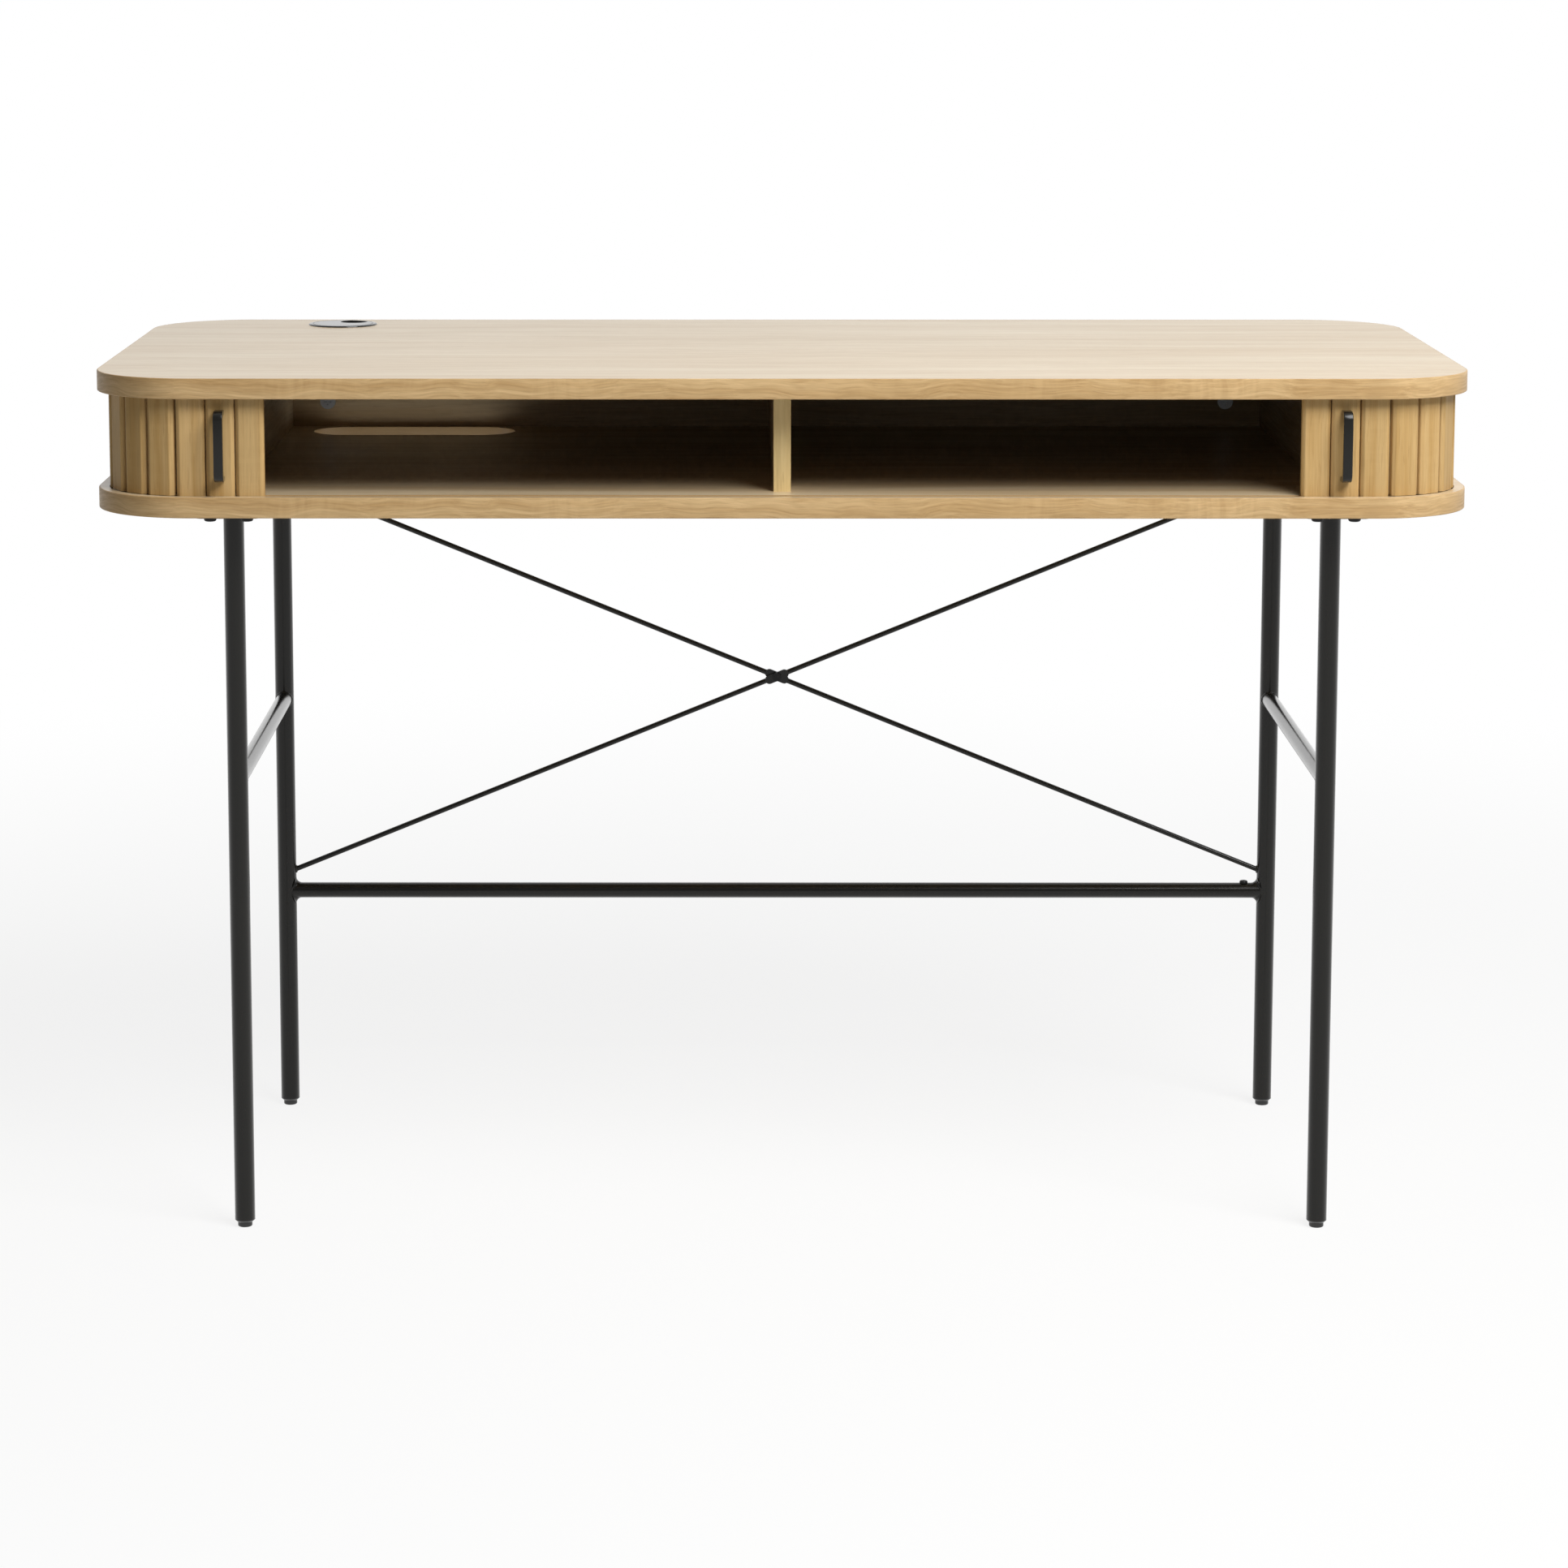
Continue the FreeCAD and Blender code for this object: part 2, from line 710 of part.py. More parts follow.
def make_rail_stub(side):
    """A short sleeve on a rear leg, flared where it meets the leg, that the rail's end butts against."""
    mouth = leg_radius + stub_length
    sleeve = rod(cross_tube_radius, rail_point(side, 0), rail_point(side, mouth))
    outer = cross_tube_radius + stub_flare
    root = leg_radius - tube_wall
    turn = stub_flare * (1 - math.sqrt(1 / 2))

    def rim(distance, radius):
        return rail_point(side, distance) + up * radius

    fillet_end = leg_radius + stub_flare
    outline = [Part.LineSegment(rail_point(side, root), rim(root, outer)).toShape(),
               Part.LineSegment(rim(root, outer), rim(leg_radius, outer)).toShape(),
               Part.Arc(rim(leg_radius, outer), rim(leg_radius + turn, cross_tube_radius + turn),
                        rim(fillet_end, cross_tube_radius)).toShape(),
               Part.LineSegment(rim(fillet_end, cross_tube_radius), rail_point(side, fillet_end)).toShape(),
               Part.LineSegment(rail_point(side, fillet_end), rail_point(side, root)).toShape()]
    flare = Part.Face(Part.Wire(outline)).revolve(rail_point(side, 0), right, 360)
    width = (rear_leg_y - cross_tube_radius, rear_leg_y + cross_tube_radius)
    slab = block((-half_width, half_width), width, (0, desk_height))
    body = sleeve.fuse(flare.common(slab)).removeSplitter()
    place = Vector(side * leg_x, rear_leg_y, 0)
    floor = rail_point(side, leg_radius + stub_floor)
    bore = rod(cross_tube_bore, floor, rail_point(side, mouth + overrun))
    return body.cut([leg_body(place), bore] + rail_screw_bores(side))


def make_rear_rail():
    """The rail tube between the two stubs."""
    reach = leg_radius + stub_length
    return tube(cross_tube_radius, cross_tube_bore, rail_point(-1, reach), rail_point(1, reach))


def make_rail_dowels():
    """Solid pins that join the rail to its stubs."""
    radius = cross_tube_bore - fit_clearance
    dowels = []
    for side in (-1, 1):
        start = rail_point(side, leg_radius + stub_floor)
        end = rail_point(side, leg_radius + stub_length + rail_dowel_grip)
        dowels.append(rod(radius, start, end).cut(rail_screw_bores(side)))
    return group(dowels)


def rail_screw_line(side):
    """Where a screw's head sits on its stub, and which way it looks: back on the left, up on the right."""
    way = up if side > 0 else backwards
    return rail_point(side, leg_radius + rail_screw_share * stub_length) + way * cross_tube_radius, way


def rail_screw_bores(side):
    seat, way = rail_screw_line(side)
    tip = seat - way * (cross_tube_radius + fit_clearance)
    return [rod(rail_screw_radius + fit_clearance, tip, seat + way * overrun)]


def make_rail_screws():
    """Button-headed screws that pin the dowels in the stubs."""
    screws = []
    for side in (-1, 1):
        seat, way = rail_screw_line(side)
        shank = rod(rail_screw_radius, seat - way * cross_tube_radius, seat + way * rail_screw_head)
        head = Part.makeSphere(rail_screw_head_radius, seat)
        keep = rod(rail_screw_head_radius, seat, seat + way * rail_screw_head)
        button = head.common(keep)
        socket = hexagon(seat + way * (rail_screw_head / 2), hex_key_radius / 2, rail_screw_head, way)
        screws.append(shank.fuse(button).removeSplitter().cut(socket))
    return group(screws)


def brace_ends(rising):
    """The two ends of a brace rod, inside the rear legs' tubes."""
    sign = 1 if rising else -1
    middle = (brace_foot_height + brace_head_height) / 2
    rise = sign * (brace_head_height - brace_foot_height) / 2
    reach = leg_x - leg_radius
    way = Vector(reach, 0, rise)
    centre = Vector(0, rear_leg_y, middle)
    tip = way * (1 + tube_wall * 2 / reach)
    return centre - tip, centre + tip


def brace_line(rising, radius):
    start, end = brace_ends(rising)
    return rod(radius, start, end)


def make_brace_rod(rising):
    """A thin rod, flattened to half depth where it crosses the other one."""
    start, end = brace_ends(rising)
    centre = (start + end) / 2
    way = (end - start).normalize()
    across = way.cross(backwards)
    depth = backwards * (-brace_pad if rising else brace_pad)
    half = brace_pad_length / 2
    width = brace_pad_width / 2
    cleared = Part.makeBox(brace_pad_length, 2 * brace_pad_width, 2 * brace_pad_width,
                           Vector(-half, -brace_pad_width, -brace_pad_width))
    turn = FreeCAD.Rotation(right, way)
    cleared.Placement = FreeCAD.Placement(centre, turn)
    shoulder = half - width
    near_side = [centre - way * shoulder + across * width, centre + way * shoulder + across * width]
    far_side = [centre + way * shoulder - across * width, centre - way * shoulder - across * width]
    outline = Part.Wire([Part.LineSegment(*near_side).toShape(),
                         Part.Arc(near_side[1], centre + way * half, far_side[0]).toShape(),
                         Part.LineSegment(*far_side).toShape(),
                         Part.Arc(far_side[1], centre - way * half, near_side[0]).toShape()])
    pad = Part.Face(outline).extrude(depth)
    hole = rod(brace_bolt_radius + fit_clearance, centre - depth, centre + depth * 2)
    side_cut = block((-half, half), sorted((rear_leg_y, rear_leg_y - depth.y * 2)), (0, desk_height))
    shaft = rod(brace_radius, start, end)
    round_part = shaft.cut(cleared)
    lap = shaft.common(cleared).cut(side_cut)
    return round_part.fuse([lap, pad]).removeSplitter().cut(hole)


def make_brace_bolt():
    """The screw and nut that clamp the two brace rods where they cross."""
    centre = Vector(0, rear_leg_y, (brace_foot_height + brace_head_height) / 2)
    front = centre - backwards * brace_pad
    back = centre + backwards * brace_pad
    head = rod(brace_bolt_head_radius, front - backwards * brace_bolt_head, front)
    shank = rod(brace_bolt_radius, front, back + backwards * (brace_nut + overrun / 2))
    turns = [turn * math.pi / 3 for turn in range(7)]
    flats = [back + Vector(math.cos(turn), 0, math.sin(turn)) * brace_nut_radius for turn in turns]
    nut = Part.Face(Part.makePolygon(flats)).extrude(backwards * brace_nut)
    beyond = back + backwards * (brace_nut + overrun)
    bore = rod(brace_bolt_radius + fit_clearance, back - backwards * overrun, beyond)
    return group([head.fuse(shank).removeSplitter(), nut.cut(bore)])


def make_foot_plugs():
    """Plastic plugs in the ends of the tubes, chamfered below and bored for the feet."""
    plugs = []
    for place in leg_places().values():
        low = place + up * foot_pad_height
        rim = place + up * tube_foot
        skirt = Part.makeCone(leg_radius - plug_chamfer, leg_radius, plug_chamfer, low, up)
        flange = rod(leg_radius, low + up * plug_chamfer, rim)
        body = rod(leg_bore - fit_clearance, rim, rim + up * plug_length)
        bore = rod(foot_stem_radius + fit_clearance, low - up * overrun, rim + up * (plug_length + overrun))
        plugs.append(skirt.fuse([flange, body]).removeSplitter().cut(bore))
    return group(plugs)


def make_foot(place):
    """A levelling foot: a round pad on a stem that turns up into the plug."""
    pad = rod(foot_pad_radius, place, place + up * foot_pad_height)
    pad = pad.makeFillet(foot_round, [edge for edge in pad.Edges if edge.BoundBox.ZMax < fit_clearance])
    neck = place + up * foot_pad_height
    stem = rod(foot_stem_radius, neck, neck + up * foot_stem_length)
    return pad.fuse(stem).removeSplitter()


def desk_nodes():
    """Every sub-part by name."""
    nodes = {
        "desk_top": make_desk_top(),
        "top_edge_band": make_edge_band((top_under, desk_height)),
        "base_panel": make_base_panel(),
        "base_edge_band": make_edge_band((base_under, base_top)),
        "back_panel": make_back_panel(),
        "left_inner_wall": make_left_inner_wall(),
        "right_inner_wall": mirrored(make_left_inner_wall()),
        "centre_divider": make_centre_divider(),
        "cam_locks": make_cam_locks(),
        "cam_bolts": group(bolt_solids(0)),
        "dowels": group(dowel_solids(0)),
        "grommet_ring": make_grommet_ring(),
        "grommet_cap": make_grommet_cap(),
        "leg_plates": make_leg_plates(),
        "plate_screws": make_plate_screws(),
        "plate_inserts": make_plate_inserts(),
        "left_stretcher": make_stretcher(-1),
        "right_stretcher": make_stretcher(1),
        "rear_rail": make_rear_rail(),
        "left_rail_stub": make_rail_stub(-1),
        "right_rail_stub": make_rail_stub(1),
        "rail_dowels": make_rail_dowels(),
        "rail_screws": make_rail_screws(),
        "rising_brace_rod": make_brace_rod(True),
        "falling_brace_rod": make_brace_rod(False),
        "brace_bolt": make_brace_bolt(),
        "foot_plugs": make_foot_plugs(),
    }
    for name, place in leg_places().items():
        nodes[name + "_leg"] = make_leg(place)
        nodes[name + "_foot"] = make_foot(place)
    curtain = {
        "front_slats": make_front_slats(),
        "front_cloth": make_front_cloth(),
        "handle": make_handle(),
        "handle_screws": group(handle_screws(0)),
        "side_slats": make_side_slats(),
        "side_cloth": make_side_cloth(),
        "turn_slat": make_turn_slat(),
        "rear_slats": make_rear_slats(),
    }
    for order in range(1, corner_slats + 1):
        curtain["corner_slat_" + str(order)] = make_corner_slat(order)
    for name, shape in curtain.items():
        nodes["left_" + name] = shape
        nodes["right_" + name] = mirrored(shape)
    return nodes


os.makedirs("parts", exist_ok=True)
for node_name, node_shape in desk_nodes().items():
    node_shape.exportStep(os.path.join("parts", node_name + ".step"))
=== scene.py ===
import math

import bmesh
import bpy
from bpy.props import FloatProperty, FloatVectorProperty, IntProperty, PointerProperty
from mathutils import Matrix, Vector


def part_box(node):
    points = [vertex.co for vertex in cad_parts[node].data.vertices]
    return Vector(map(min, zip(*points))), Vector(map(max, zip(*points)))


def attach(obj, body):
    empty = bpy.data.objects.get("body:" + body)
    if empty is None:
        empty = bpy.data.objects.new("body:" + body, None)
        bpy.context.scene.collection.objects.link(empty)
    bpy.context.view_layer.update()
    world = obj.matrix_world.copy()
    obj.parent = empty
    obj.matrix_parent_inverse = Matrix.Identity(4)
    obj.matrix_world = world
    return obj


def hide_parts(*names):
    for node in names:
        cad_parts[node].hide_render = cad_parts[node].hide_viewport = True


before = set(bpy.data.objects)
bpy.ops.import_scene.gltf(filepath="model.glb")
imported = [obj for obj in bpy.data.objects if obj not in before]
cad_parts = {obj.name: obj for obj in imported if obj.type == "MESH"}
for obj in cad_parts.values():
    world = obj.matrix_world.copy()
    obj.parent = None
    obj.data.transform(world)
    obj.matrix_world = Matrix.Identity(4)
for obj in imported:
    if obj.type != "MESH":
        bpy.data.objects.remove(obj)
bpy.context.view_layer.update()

bl_info = {
    "name": "Tambour desk",
    "version": (1, 0, 0),
    "blender": (4, 5, 0),
    "location": "3D view > Sidebar > Desk",
    "description": "Makes the looks of an oak desk with tambour doors on a black tube frame",
    "category": "Object",
}

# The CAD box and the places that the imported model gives, in metres
top_low, top_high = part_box("top_edge_band")
base_low, base_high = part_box("base_edge_band")
rail_low, rail_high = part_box("rear_rail")
UP, RIGHT, BACK = Vector((0, 0, 1)), Vector((1, 0, 0)), Vector((0, 1, 0))
IN_PLAN = Vector((1, 1, 0))
QUARTER = math.pi / 2
SIDES = (("left", 1), ("right", -1))
CORNERS = ("front_left", "front_right", "rear_left", "rear_right")
UPRIGHTS = ("left_inner_wall", "right_inner_wall", "centre_divider")
# Each run of slats that moves as one: its body, its CAD node, its first slat and how many there are
SLAT_RUNS = (
    ("lead", "front_slats", 1, 3),
    ("corner_1", "corner_slat_1", 4, 1),
    ("corner_2", "corner_slat_2", 5, 1),
    ("corner_3", "corner_slat_3", 6, 1),
    ("corner_4", "corner_slat_4", 7, 1),
    ("side", "side_slats", 8, 13),
    ("turn", "turn_slat", 21, 1),
    ("rear", "rear_slats", 22, 4),
)
LEAD_SLATS = 3
LAST_SLAT = 25
# How far the canvas stops short of a fold
FOLD_GAP = 0.00005
# Grommet: the flange's reach past the sleeve and its height, the sleeve's wall, and the room round the cap
FLANGE_REACH, FLANGE_HEIGHT, SLEEVE_WALL, CAP_ROOM = 0.0031, 0.0018, 0.0027, 0.0003
# Rail stubs: their wall, how far they start inside the leg's wall, and their least flare along the rail
STUB_WALL, STUB_BITE, STUB_LEAST = 0.0012, 0.0006, 0.0015
RAIL_SCREW_RADIUS, HANDLE_SCREW_RADIUS = 0.004, 0.0024
BRACE_RADIUS = 0.0025
# Points round a weld, the turn of its ripples from point to point, and their height as a share of the bead
WELD_STEPS, RIPPLE_TURN, RIPPLE = 40, 2.1, 0.14
# Points nearer than this are one, and a turned shape closes at its axis with a ring this small
MERGE, AXIS = 1e-7, 1e-9
# A Bezier handle of this length makes a quarter circle of radius 1
ARC_PULL = 0.5522847
# One turn of a wave texture's bands takes this length at scale 1
WAVE_LENGTH = math.pi / 10
THREAD_SPACING = 0.0018
# Length and width of the veneer's fibres, and how deep their tone goes
VENEER_FIBRE = (0.09, 0.0026, 0.08)
# How far apart the grain of the palest slat and of the darkest one is taken
SLAT_SHIFT = (0.9, 0.7, 3.1)
# Slow blotches of the plain finishes, to the metre
BLOTCHES = 14.0


def linear(colour):
    """An sRGB hex colour as linear red, green and blue."""
    shares = [int(colour[place:place + 2], 16) / 255 for place in (1, 3, 5)]
    return [share / 12.92 if share <= 0.04045 else ((share + 0.055) / 1.055) ** 2.4 for share in shares]


def size(name, description, default):
    """A length that a user may change."""
    return FloatProperty(name=name, description=description, default=default, unit="LENGTH", precision=4)


def colour(name, description, default):
    """A colour that a user may change, given as sRGB hex."""
    return FloatVectorProperty(name=name, description=description, default=linear(default), size=3,
                               subtype="COLOR", min=0, max=1)


class CabinetSizes(bpy.types.PropertyGroup):
    """Sizes of the boards' dressed edges"""
    corner_radius: size("Corner radius", "Radius of the boards' round corners", 0.090)
    band: size("Edge band", "Thickness of the veneer band on the boards' edges", 0.001)
    band_round: size("Band rounding", "Radius of the band's long edges", 0.0008)
    lipping: size("Lipping", "Thickness of the strip on the front edges of the upright boards", 0.0006)
    grommet_round: size("Grommet rounding", "Radius of the grommet's rim", 0.0013)


class CurtainSizes(bpy.types.PropertyGroup):
    """Sizes of the slats and the cloth"""
    inset: size("Inset", "How far the slats' faces stand behind the boards' edges", 0.010)
    pitch: size("Pitch", "Distance from one slat to the next along the cloth", 0.0255)
    gap: size("Gap", "Gap between two slats at the cloth", 0.0007)
    thickness: size("Thickness", "Thickness of a slat", 0.007)
    bevel_width: size("Bevel width", "Width of a slat's bevels, seen from the front", 0.003)
    bevel_depth: size("Bevel depth", "How far a slat's bevels go back", 0.0026)
    softness: size("Softness", "Radius left by sanding on a slat's long edges", 0.0022)
    cloth: size("Cloth", "Thickness of the canvas backing", 0.0006)
    cloth_margin: size("Cloth margin", "How far the canvas stays inside the slats at its ends", 0.001)
    seed: IntProperty(name="Seed", description="Draw of the slats' tones", default=7)


class FittingSizes(bpy.types.PropertyGroup):
    """Sizes of the handles, the screws and the welds"""
    handle_bar: size("Handle bar", "Thickness of the handle's bar", 0.0045)
    handle_corner: size("Handle corner", "Outer radius of the handle's bends", 0.008)
    handle_edge: size("Handle edge", "Radius of the bar's long edges", 0.0007)
    screw_head: size("Screw head", "Radius of the plate screws' heads", 0.0055)
    screw_height: size("Screw height", "Height of the plate screws' heads", 0.0038)
    screw_key: size("Screw key", "Radius of the plate screws' hexagon sockets", 0.002)
    screw_spacing: size("Screw spacing", "Distance between a plate's screws", 0.032)
    plate_offset: size("Plate offset", "How far a plate's middle stands outside its leg's", 0.0025)
    bead: size("Weld bead", "Radius of the weld beads round the tubes", 0.0011)
    stub_flare: size("Stub flare", "How far the rail's stubs widen up and down at the legs", 0.0055)


class Finishes(bpy.types.PropertyGroup):
    """Colours of the materials"""
    # Partly painted sheen: the boards' veneer is the bands' oak drawn paler and greyer, beside the lacquer's
    # own gloss
    veneer_light: colour("Veneer light", "Early wood of the boards' veneer", "#D9C6A6")
    veneer_dark: colour("Veneer dark", "Late wood of the boards' veneer", "#C8AE86")
    band_light: colour("Band light", "Early wood of the edge bands", "#CFB184")
    band_dark: colour("Band dark", "Late wood of the edge bands", "#B49263")
    # Painted light: the uprights' strips are the bands' oak drawn paler, to light strips that sit in the
    # top's shadow
    lipping_light: colour("Lipping light", "Early wood of the uprights' strips", "#E4CD98")
    lipping_dark: colour("Lipping dark", "Late wood of the uprights' strips", "#D5B980")
    slat_light: colour("Slat light", "Early wood of the slats", "#C9AA78")
    slat_dark: colour("Slat dark", "Late wood of the slats", "#B8955F")
    backing: colour("Backing paper", "Paper that balances the veneer, under the top", "#6E5337")
    core: colour("Board core", "Fibreboard that shows in slots and grooves", "#B79768")
    pore: colour("Pore", "Open pores of the oak", "#8A6537")
    steel: colour("Powder coat", "Coating of the tubes and handles", "#181714")
    plastic: colour("Plastic", "Grommet, plugs and feet", "#1D1D1C")
    screws: colour("Screws", "Blackened screws", "#1A1A1A")
    zinc: colour("Zinc", "Cam locks and small screws", "#C9CED2")
    beech: colour("Beech", "Raw beech of the dowels", "#D2AE84")
    canvas: colour("Canvas", "Backing cloth of the curtains", "#C2A87C")


class StageSettings(bpy.types.PropertyGroup):
    """Light, floor and camera"""
    key_power: FloatProperty(name="Key", description="Power of the softbox above the front right",
                             default=120, unit="POWER")
    ambient: FloatProperty(name="Ambient", description="Light from all round", default=0.09, min=0)
    front_gloss: FloatProperty(name="Front gloss", description="White that gloss shows of the room in front",
                               default=0.25, min=0, max=1)
    floor: colour("Floor", "Colour of the floor", "#F3F3F1")
    floor_glow: FloatProperty(name="Floor glow", default=0.86, min=0, max=1,
                              description="Share of plain white that the camera sees on the floor")
    camera_place: FloatVectorProperty(name="Camera", description="Place of the camera", size=3,
                                      default=(-0.04395, -3.95904, 1.15639), subtype="TRANSLATION",
                                      unit="LENGTH")
    camera_pitch: FloatProperty(name="Pitch", description="Tilt of the camera, up from level",
                                default=math.radians(-8.317), subtype="ANGLE")
    camera_yaw: FloatProperty(name="Yaw", description="Turn of the camera, left from straight ahead",
                              default=0.00182, subtype="ANGLE")
    lens: FloatProperty(name="Lens", description="Focal length in millimetres", default=99.26)
    shift: FloatVectorProperty(name="Shift", description="Sideways and upward shift of the picture", size=2,
                               default=(0.0384, -0.15))


# Nodes and pieces

def fill(tree, node, inputs):
    """Fills a node's sockets with values or with other nodes' outputs."""
    for socket, value in inputs.items():
        if isinstance(value, bpy.types.NodeSocket):
            tree.links.new(value, node.inputs[socket])
        else:
            node.inputs[socket].default_value = value


def add(tree, kind, inputs=None, out=0, **settings):
    """Adds a node with its properties and its inputs, and returns one of its outputs."""
    node = tree.nodes.new(kind)
    for name, value in settings.items():
        setattr(node, name, value)
    fill(tree, node, inputs or {})
    return node.outputs[out] if node.outputs else None


def link(name, data):
    """A new object in the scene."""
    item = bpy.data.objects.new(name, data)
    bpy.context.scene.collection.objects.link(item)
    return item


def coat(mesh, finish_name):
    """Gives a mesh its one finish."""
    mesh.materials.clear()
    mesh.materials.append(finish(finish_name))


def dress(finish_name, *nodes):
    """Gives CAD nodes their finish."""
    for node in nodes:
        coat(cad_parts[node].data, finish_name)


def stand(name, mesh, body, slot, finish_name, *nodes):
    """Puts a mesh in the scene on a body, with its finish, in the place of the CAD nodes it stands for."""
    piece = link(name, mesh)
    coat(mesh, finish_name)
    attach(piece, body)
    if nodes:
        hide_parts(*nodes)
    return piece


def grown(tree, name, values):
    """Runs a node tree with these input values, and returns what it makes as a plain mesh."""
    holder = link(name, bpy.data.meshes.new(name))
    modifier = holder.modifiers.new("Nodes", "NODES")
    modifier.node_group = tree
    sockets = {item.name: item.identifier for item in tree.interface.items_tree if item.in_out == "INPUT"}
    for label, value in values.items():
        modifier[sockets[label]] = value
    graph = bpy.context.evaluated_depsgraph_get()
    mesh = bpy.data.meshes.new_from_object(holder.evaluated_get(graph), depsgraph=graph)
    holder.modifiers.remove(modifier)
    bpy.data.objects.remove(holder)
    mesh.name = name
    return mesh


def node_tree(name, inputs):
    """A new geometry node tree with named inputs, and its input sockets."""
    tree = bpy.data.node_groups.new(name, "GeometryNodeTree")
    for label, kind in inputs.items():
        tree.interface.new_socket(label, in_out="INPUT", socket_type="NodeSocket" + kind)
    tree.interface.new_socket("Geometry", in_out="OUTPUT", socket_type="NodeSocketGeometry")
    return tree, add(tree, "NodeGroupInput").node.outputs


def close_tree(tree, geometry, material):
    """Ends a tree with real geometry that has its material."""
    real = add(tree, "GeometryNodeRealizeInstances", {"Geometry": geometry})
    dressed = add(tree, "GeometryNodeSetMaterial", {"Geometry": real, "Material": material})
    add(tree, "NodeGroupOutput", {"Geometry": dressed})


# Materials

def new_finish(name):
    """A new material, its nodes and its surface."""
    material = bpy.data.materials.new(name)
    material.use_nodes = True
    tree = material.node_tree
    return material, tree, tree.nodes["Principled BSDF"]


def rgba(value):
    """A colour as the shader's sockets take it."""
    return (*value, 1.0)


def oak(name, wood, grain, ring_width, fibre, flecks, sway, lacquer, coordinates="Object", by_slat=False,
        board=False):
    """Oak under matt lacquer: soft bands of early and late wood, fine fibres, open pores as short dark
    strokes, and pale bars of ray fleck across the grain. Pores are 0.3 mm wide and are drawn 1.6 mm wide to
    show."""
    material, tree, surface = new_finish(name)
    colours = bpy.context.scene.desk_finishes
    light, dark = (getattr(colours, wood + shade) for shade in ("_light", "_dark"))
    place = add(tree, "ShaderNodeTexCoord", out=coordinates)
    fibre_length, fibre_width, fibre_depth = fibre
    tints = [("fibres", (1 - fibre_depth, 1 - fibre_depth * 1.2, 1 - fibre_depth * 1.6, 1),
              rgba([1 + fibre_depth * 0.8] * 3)),
             ("clouds", (0.95, 0.94, 0.91, 1), (1.05, 1.05, 1.06, 1))]
    layers = {}
    if by_slat:
        # Each slat has its own tone, and its own place in the grain
        tints.append(("tone", (0.92, 0.91, 0.88, 1), (1.06, 1.06, 1.07, 1)))
        layers["tone"] = add(tree, "ShaderNodeAttribute", out="Fac", attribute_name="slat_tone")
        shift = add(tree, "ShaderNodeVectorMath", {0: SLAT_SHIFT, "Scale": layers["tone"]}, operation="SCALE")
        place = add(tree, "ShaderNodeVectorMath", {0: place, 1: shift})

    # The grain sways this far from a straight line, over this length
    reach, length = sway
    drift = add(tree, "ShaderNodeTexNoise", {"Vector": place, "Scale": 1 / length, "Detail": 1.0},
                out="Color")
    drift = add(tree, "ShaderNodeVectorMath", {0: drift, 1: (0.5, 0.5, 0.5)}, operation="SUBTRACT")
    place = add(tree, "ShaderNodeVectorMath", {0: drift, 1: (reach, reach, reach), 2: place},
                operation="MULTIPLY_ADD")
    # Length along the grain and width across it, in metres, then detail, roughness and distortion
    for layer, along, across, detail, roughness, distortion in (
            ("rings", 0.55, ring_width, 4.0, 0.55, 0.5), ("fibres", fibre_length, fibre_width, 3.0, 0.6, 0.0),
            ("pores", 0.022, 0.0016, 1.0, 0.5, 0.0), ("clouds", 0.40, 0.16, 2.0, 0.5, 0.0),
            ("bars", 0.0075, 0.05, 2.0, 0.5, 0.6), ("patches", 0.11, 0.09, 1.0, 0.5, 0.0)):
        scale = [1 / across] * 3
        scale[grain] = 1 / along
        vector = add(tree, "ShaderNodeMapping", {"Vector": place, "Scale": scale})
        layers[layer] = add(tree, "ShaderNodeTexNoise", {
            "Vector": vector, "Scale": 1.0, "Detail": detail, "Roughness": roughness,
            "Distortion": distortion})
    # The noise from one level to another becomes a share from one value to another
    for layer, source, low, high, first, last in (
            ("rings", "rings", 0.34, 0.68, 0.0, 1.0), ("pores", "pores", 0.60, 0.72, 0.0, 1.0),
            ("bars", "bars", 0.40, 0.62, 0.0, 1.0), ("patches", "patches", 0.46, 0.66, 0.0, flecks),
            ("fibres", "fibres", 0.32, 0.68, 0.0, 1.0), ("matt", "fibres", 0.0, 1.0, 0.50, 0.40),
            ("pits", "pores", 0.0, 1.0, 0.0, 0.16)):
        layers[layer] = add(tree, "ShaderNodeMapRange", {
            "Value": layers[source], "From Min": low, "From Max": high, "To Min": first, "To Max": last})
    layers["shine"] = add(tree, "ShaderNodeMath", {0: layers["bars"], 1: layers["patches"]},
                          operation="MULTIPLY")

    # What goes over the early wood: its share, its colour and how it is laid on
    coats = [(layers["rings"], rgba(dark), "MIX")]
    for layer, low, high in tints:
        tint = add(tree, "ShaderNodeMix", {0: layers[layer], 6: low, 7: high}, out=2, data_type="RGBA")
        coats.append((1.0, tint, "MULTIPLY"))
    coats += [(layers["shine"], rgba([min(1.0, part * 1.25) for part in light]), "MIX"),
              (layers["pits"], rgba(colours.pore), "MIX")]
    if board:
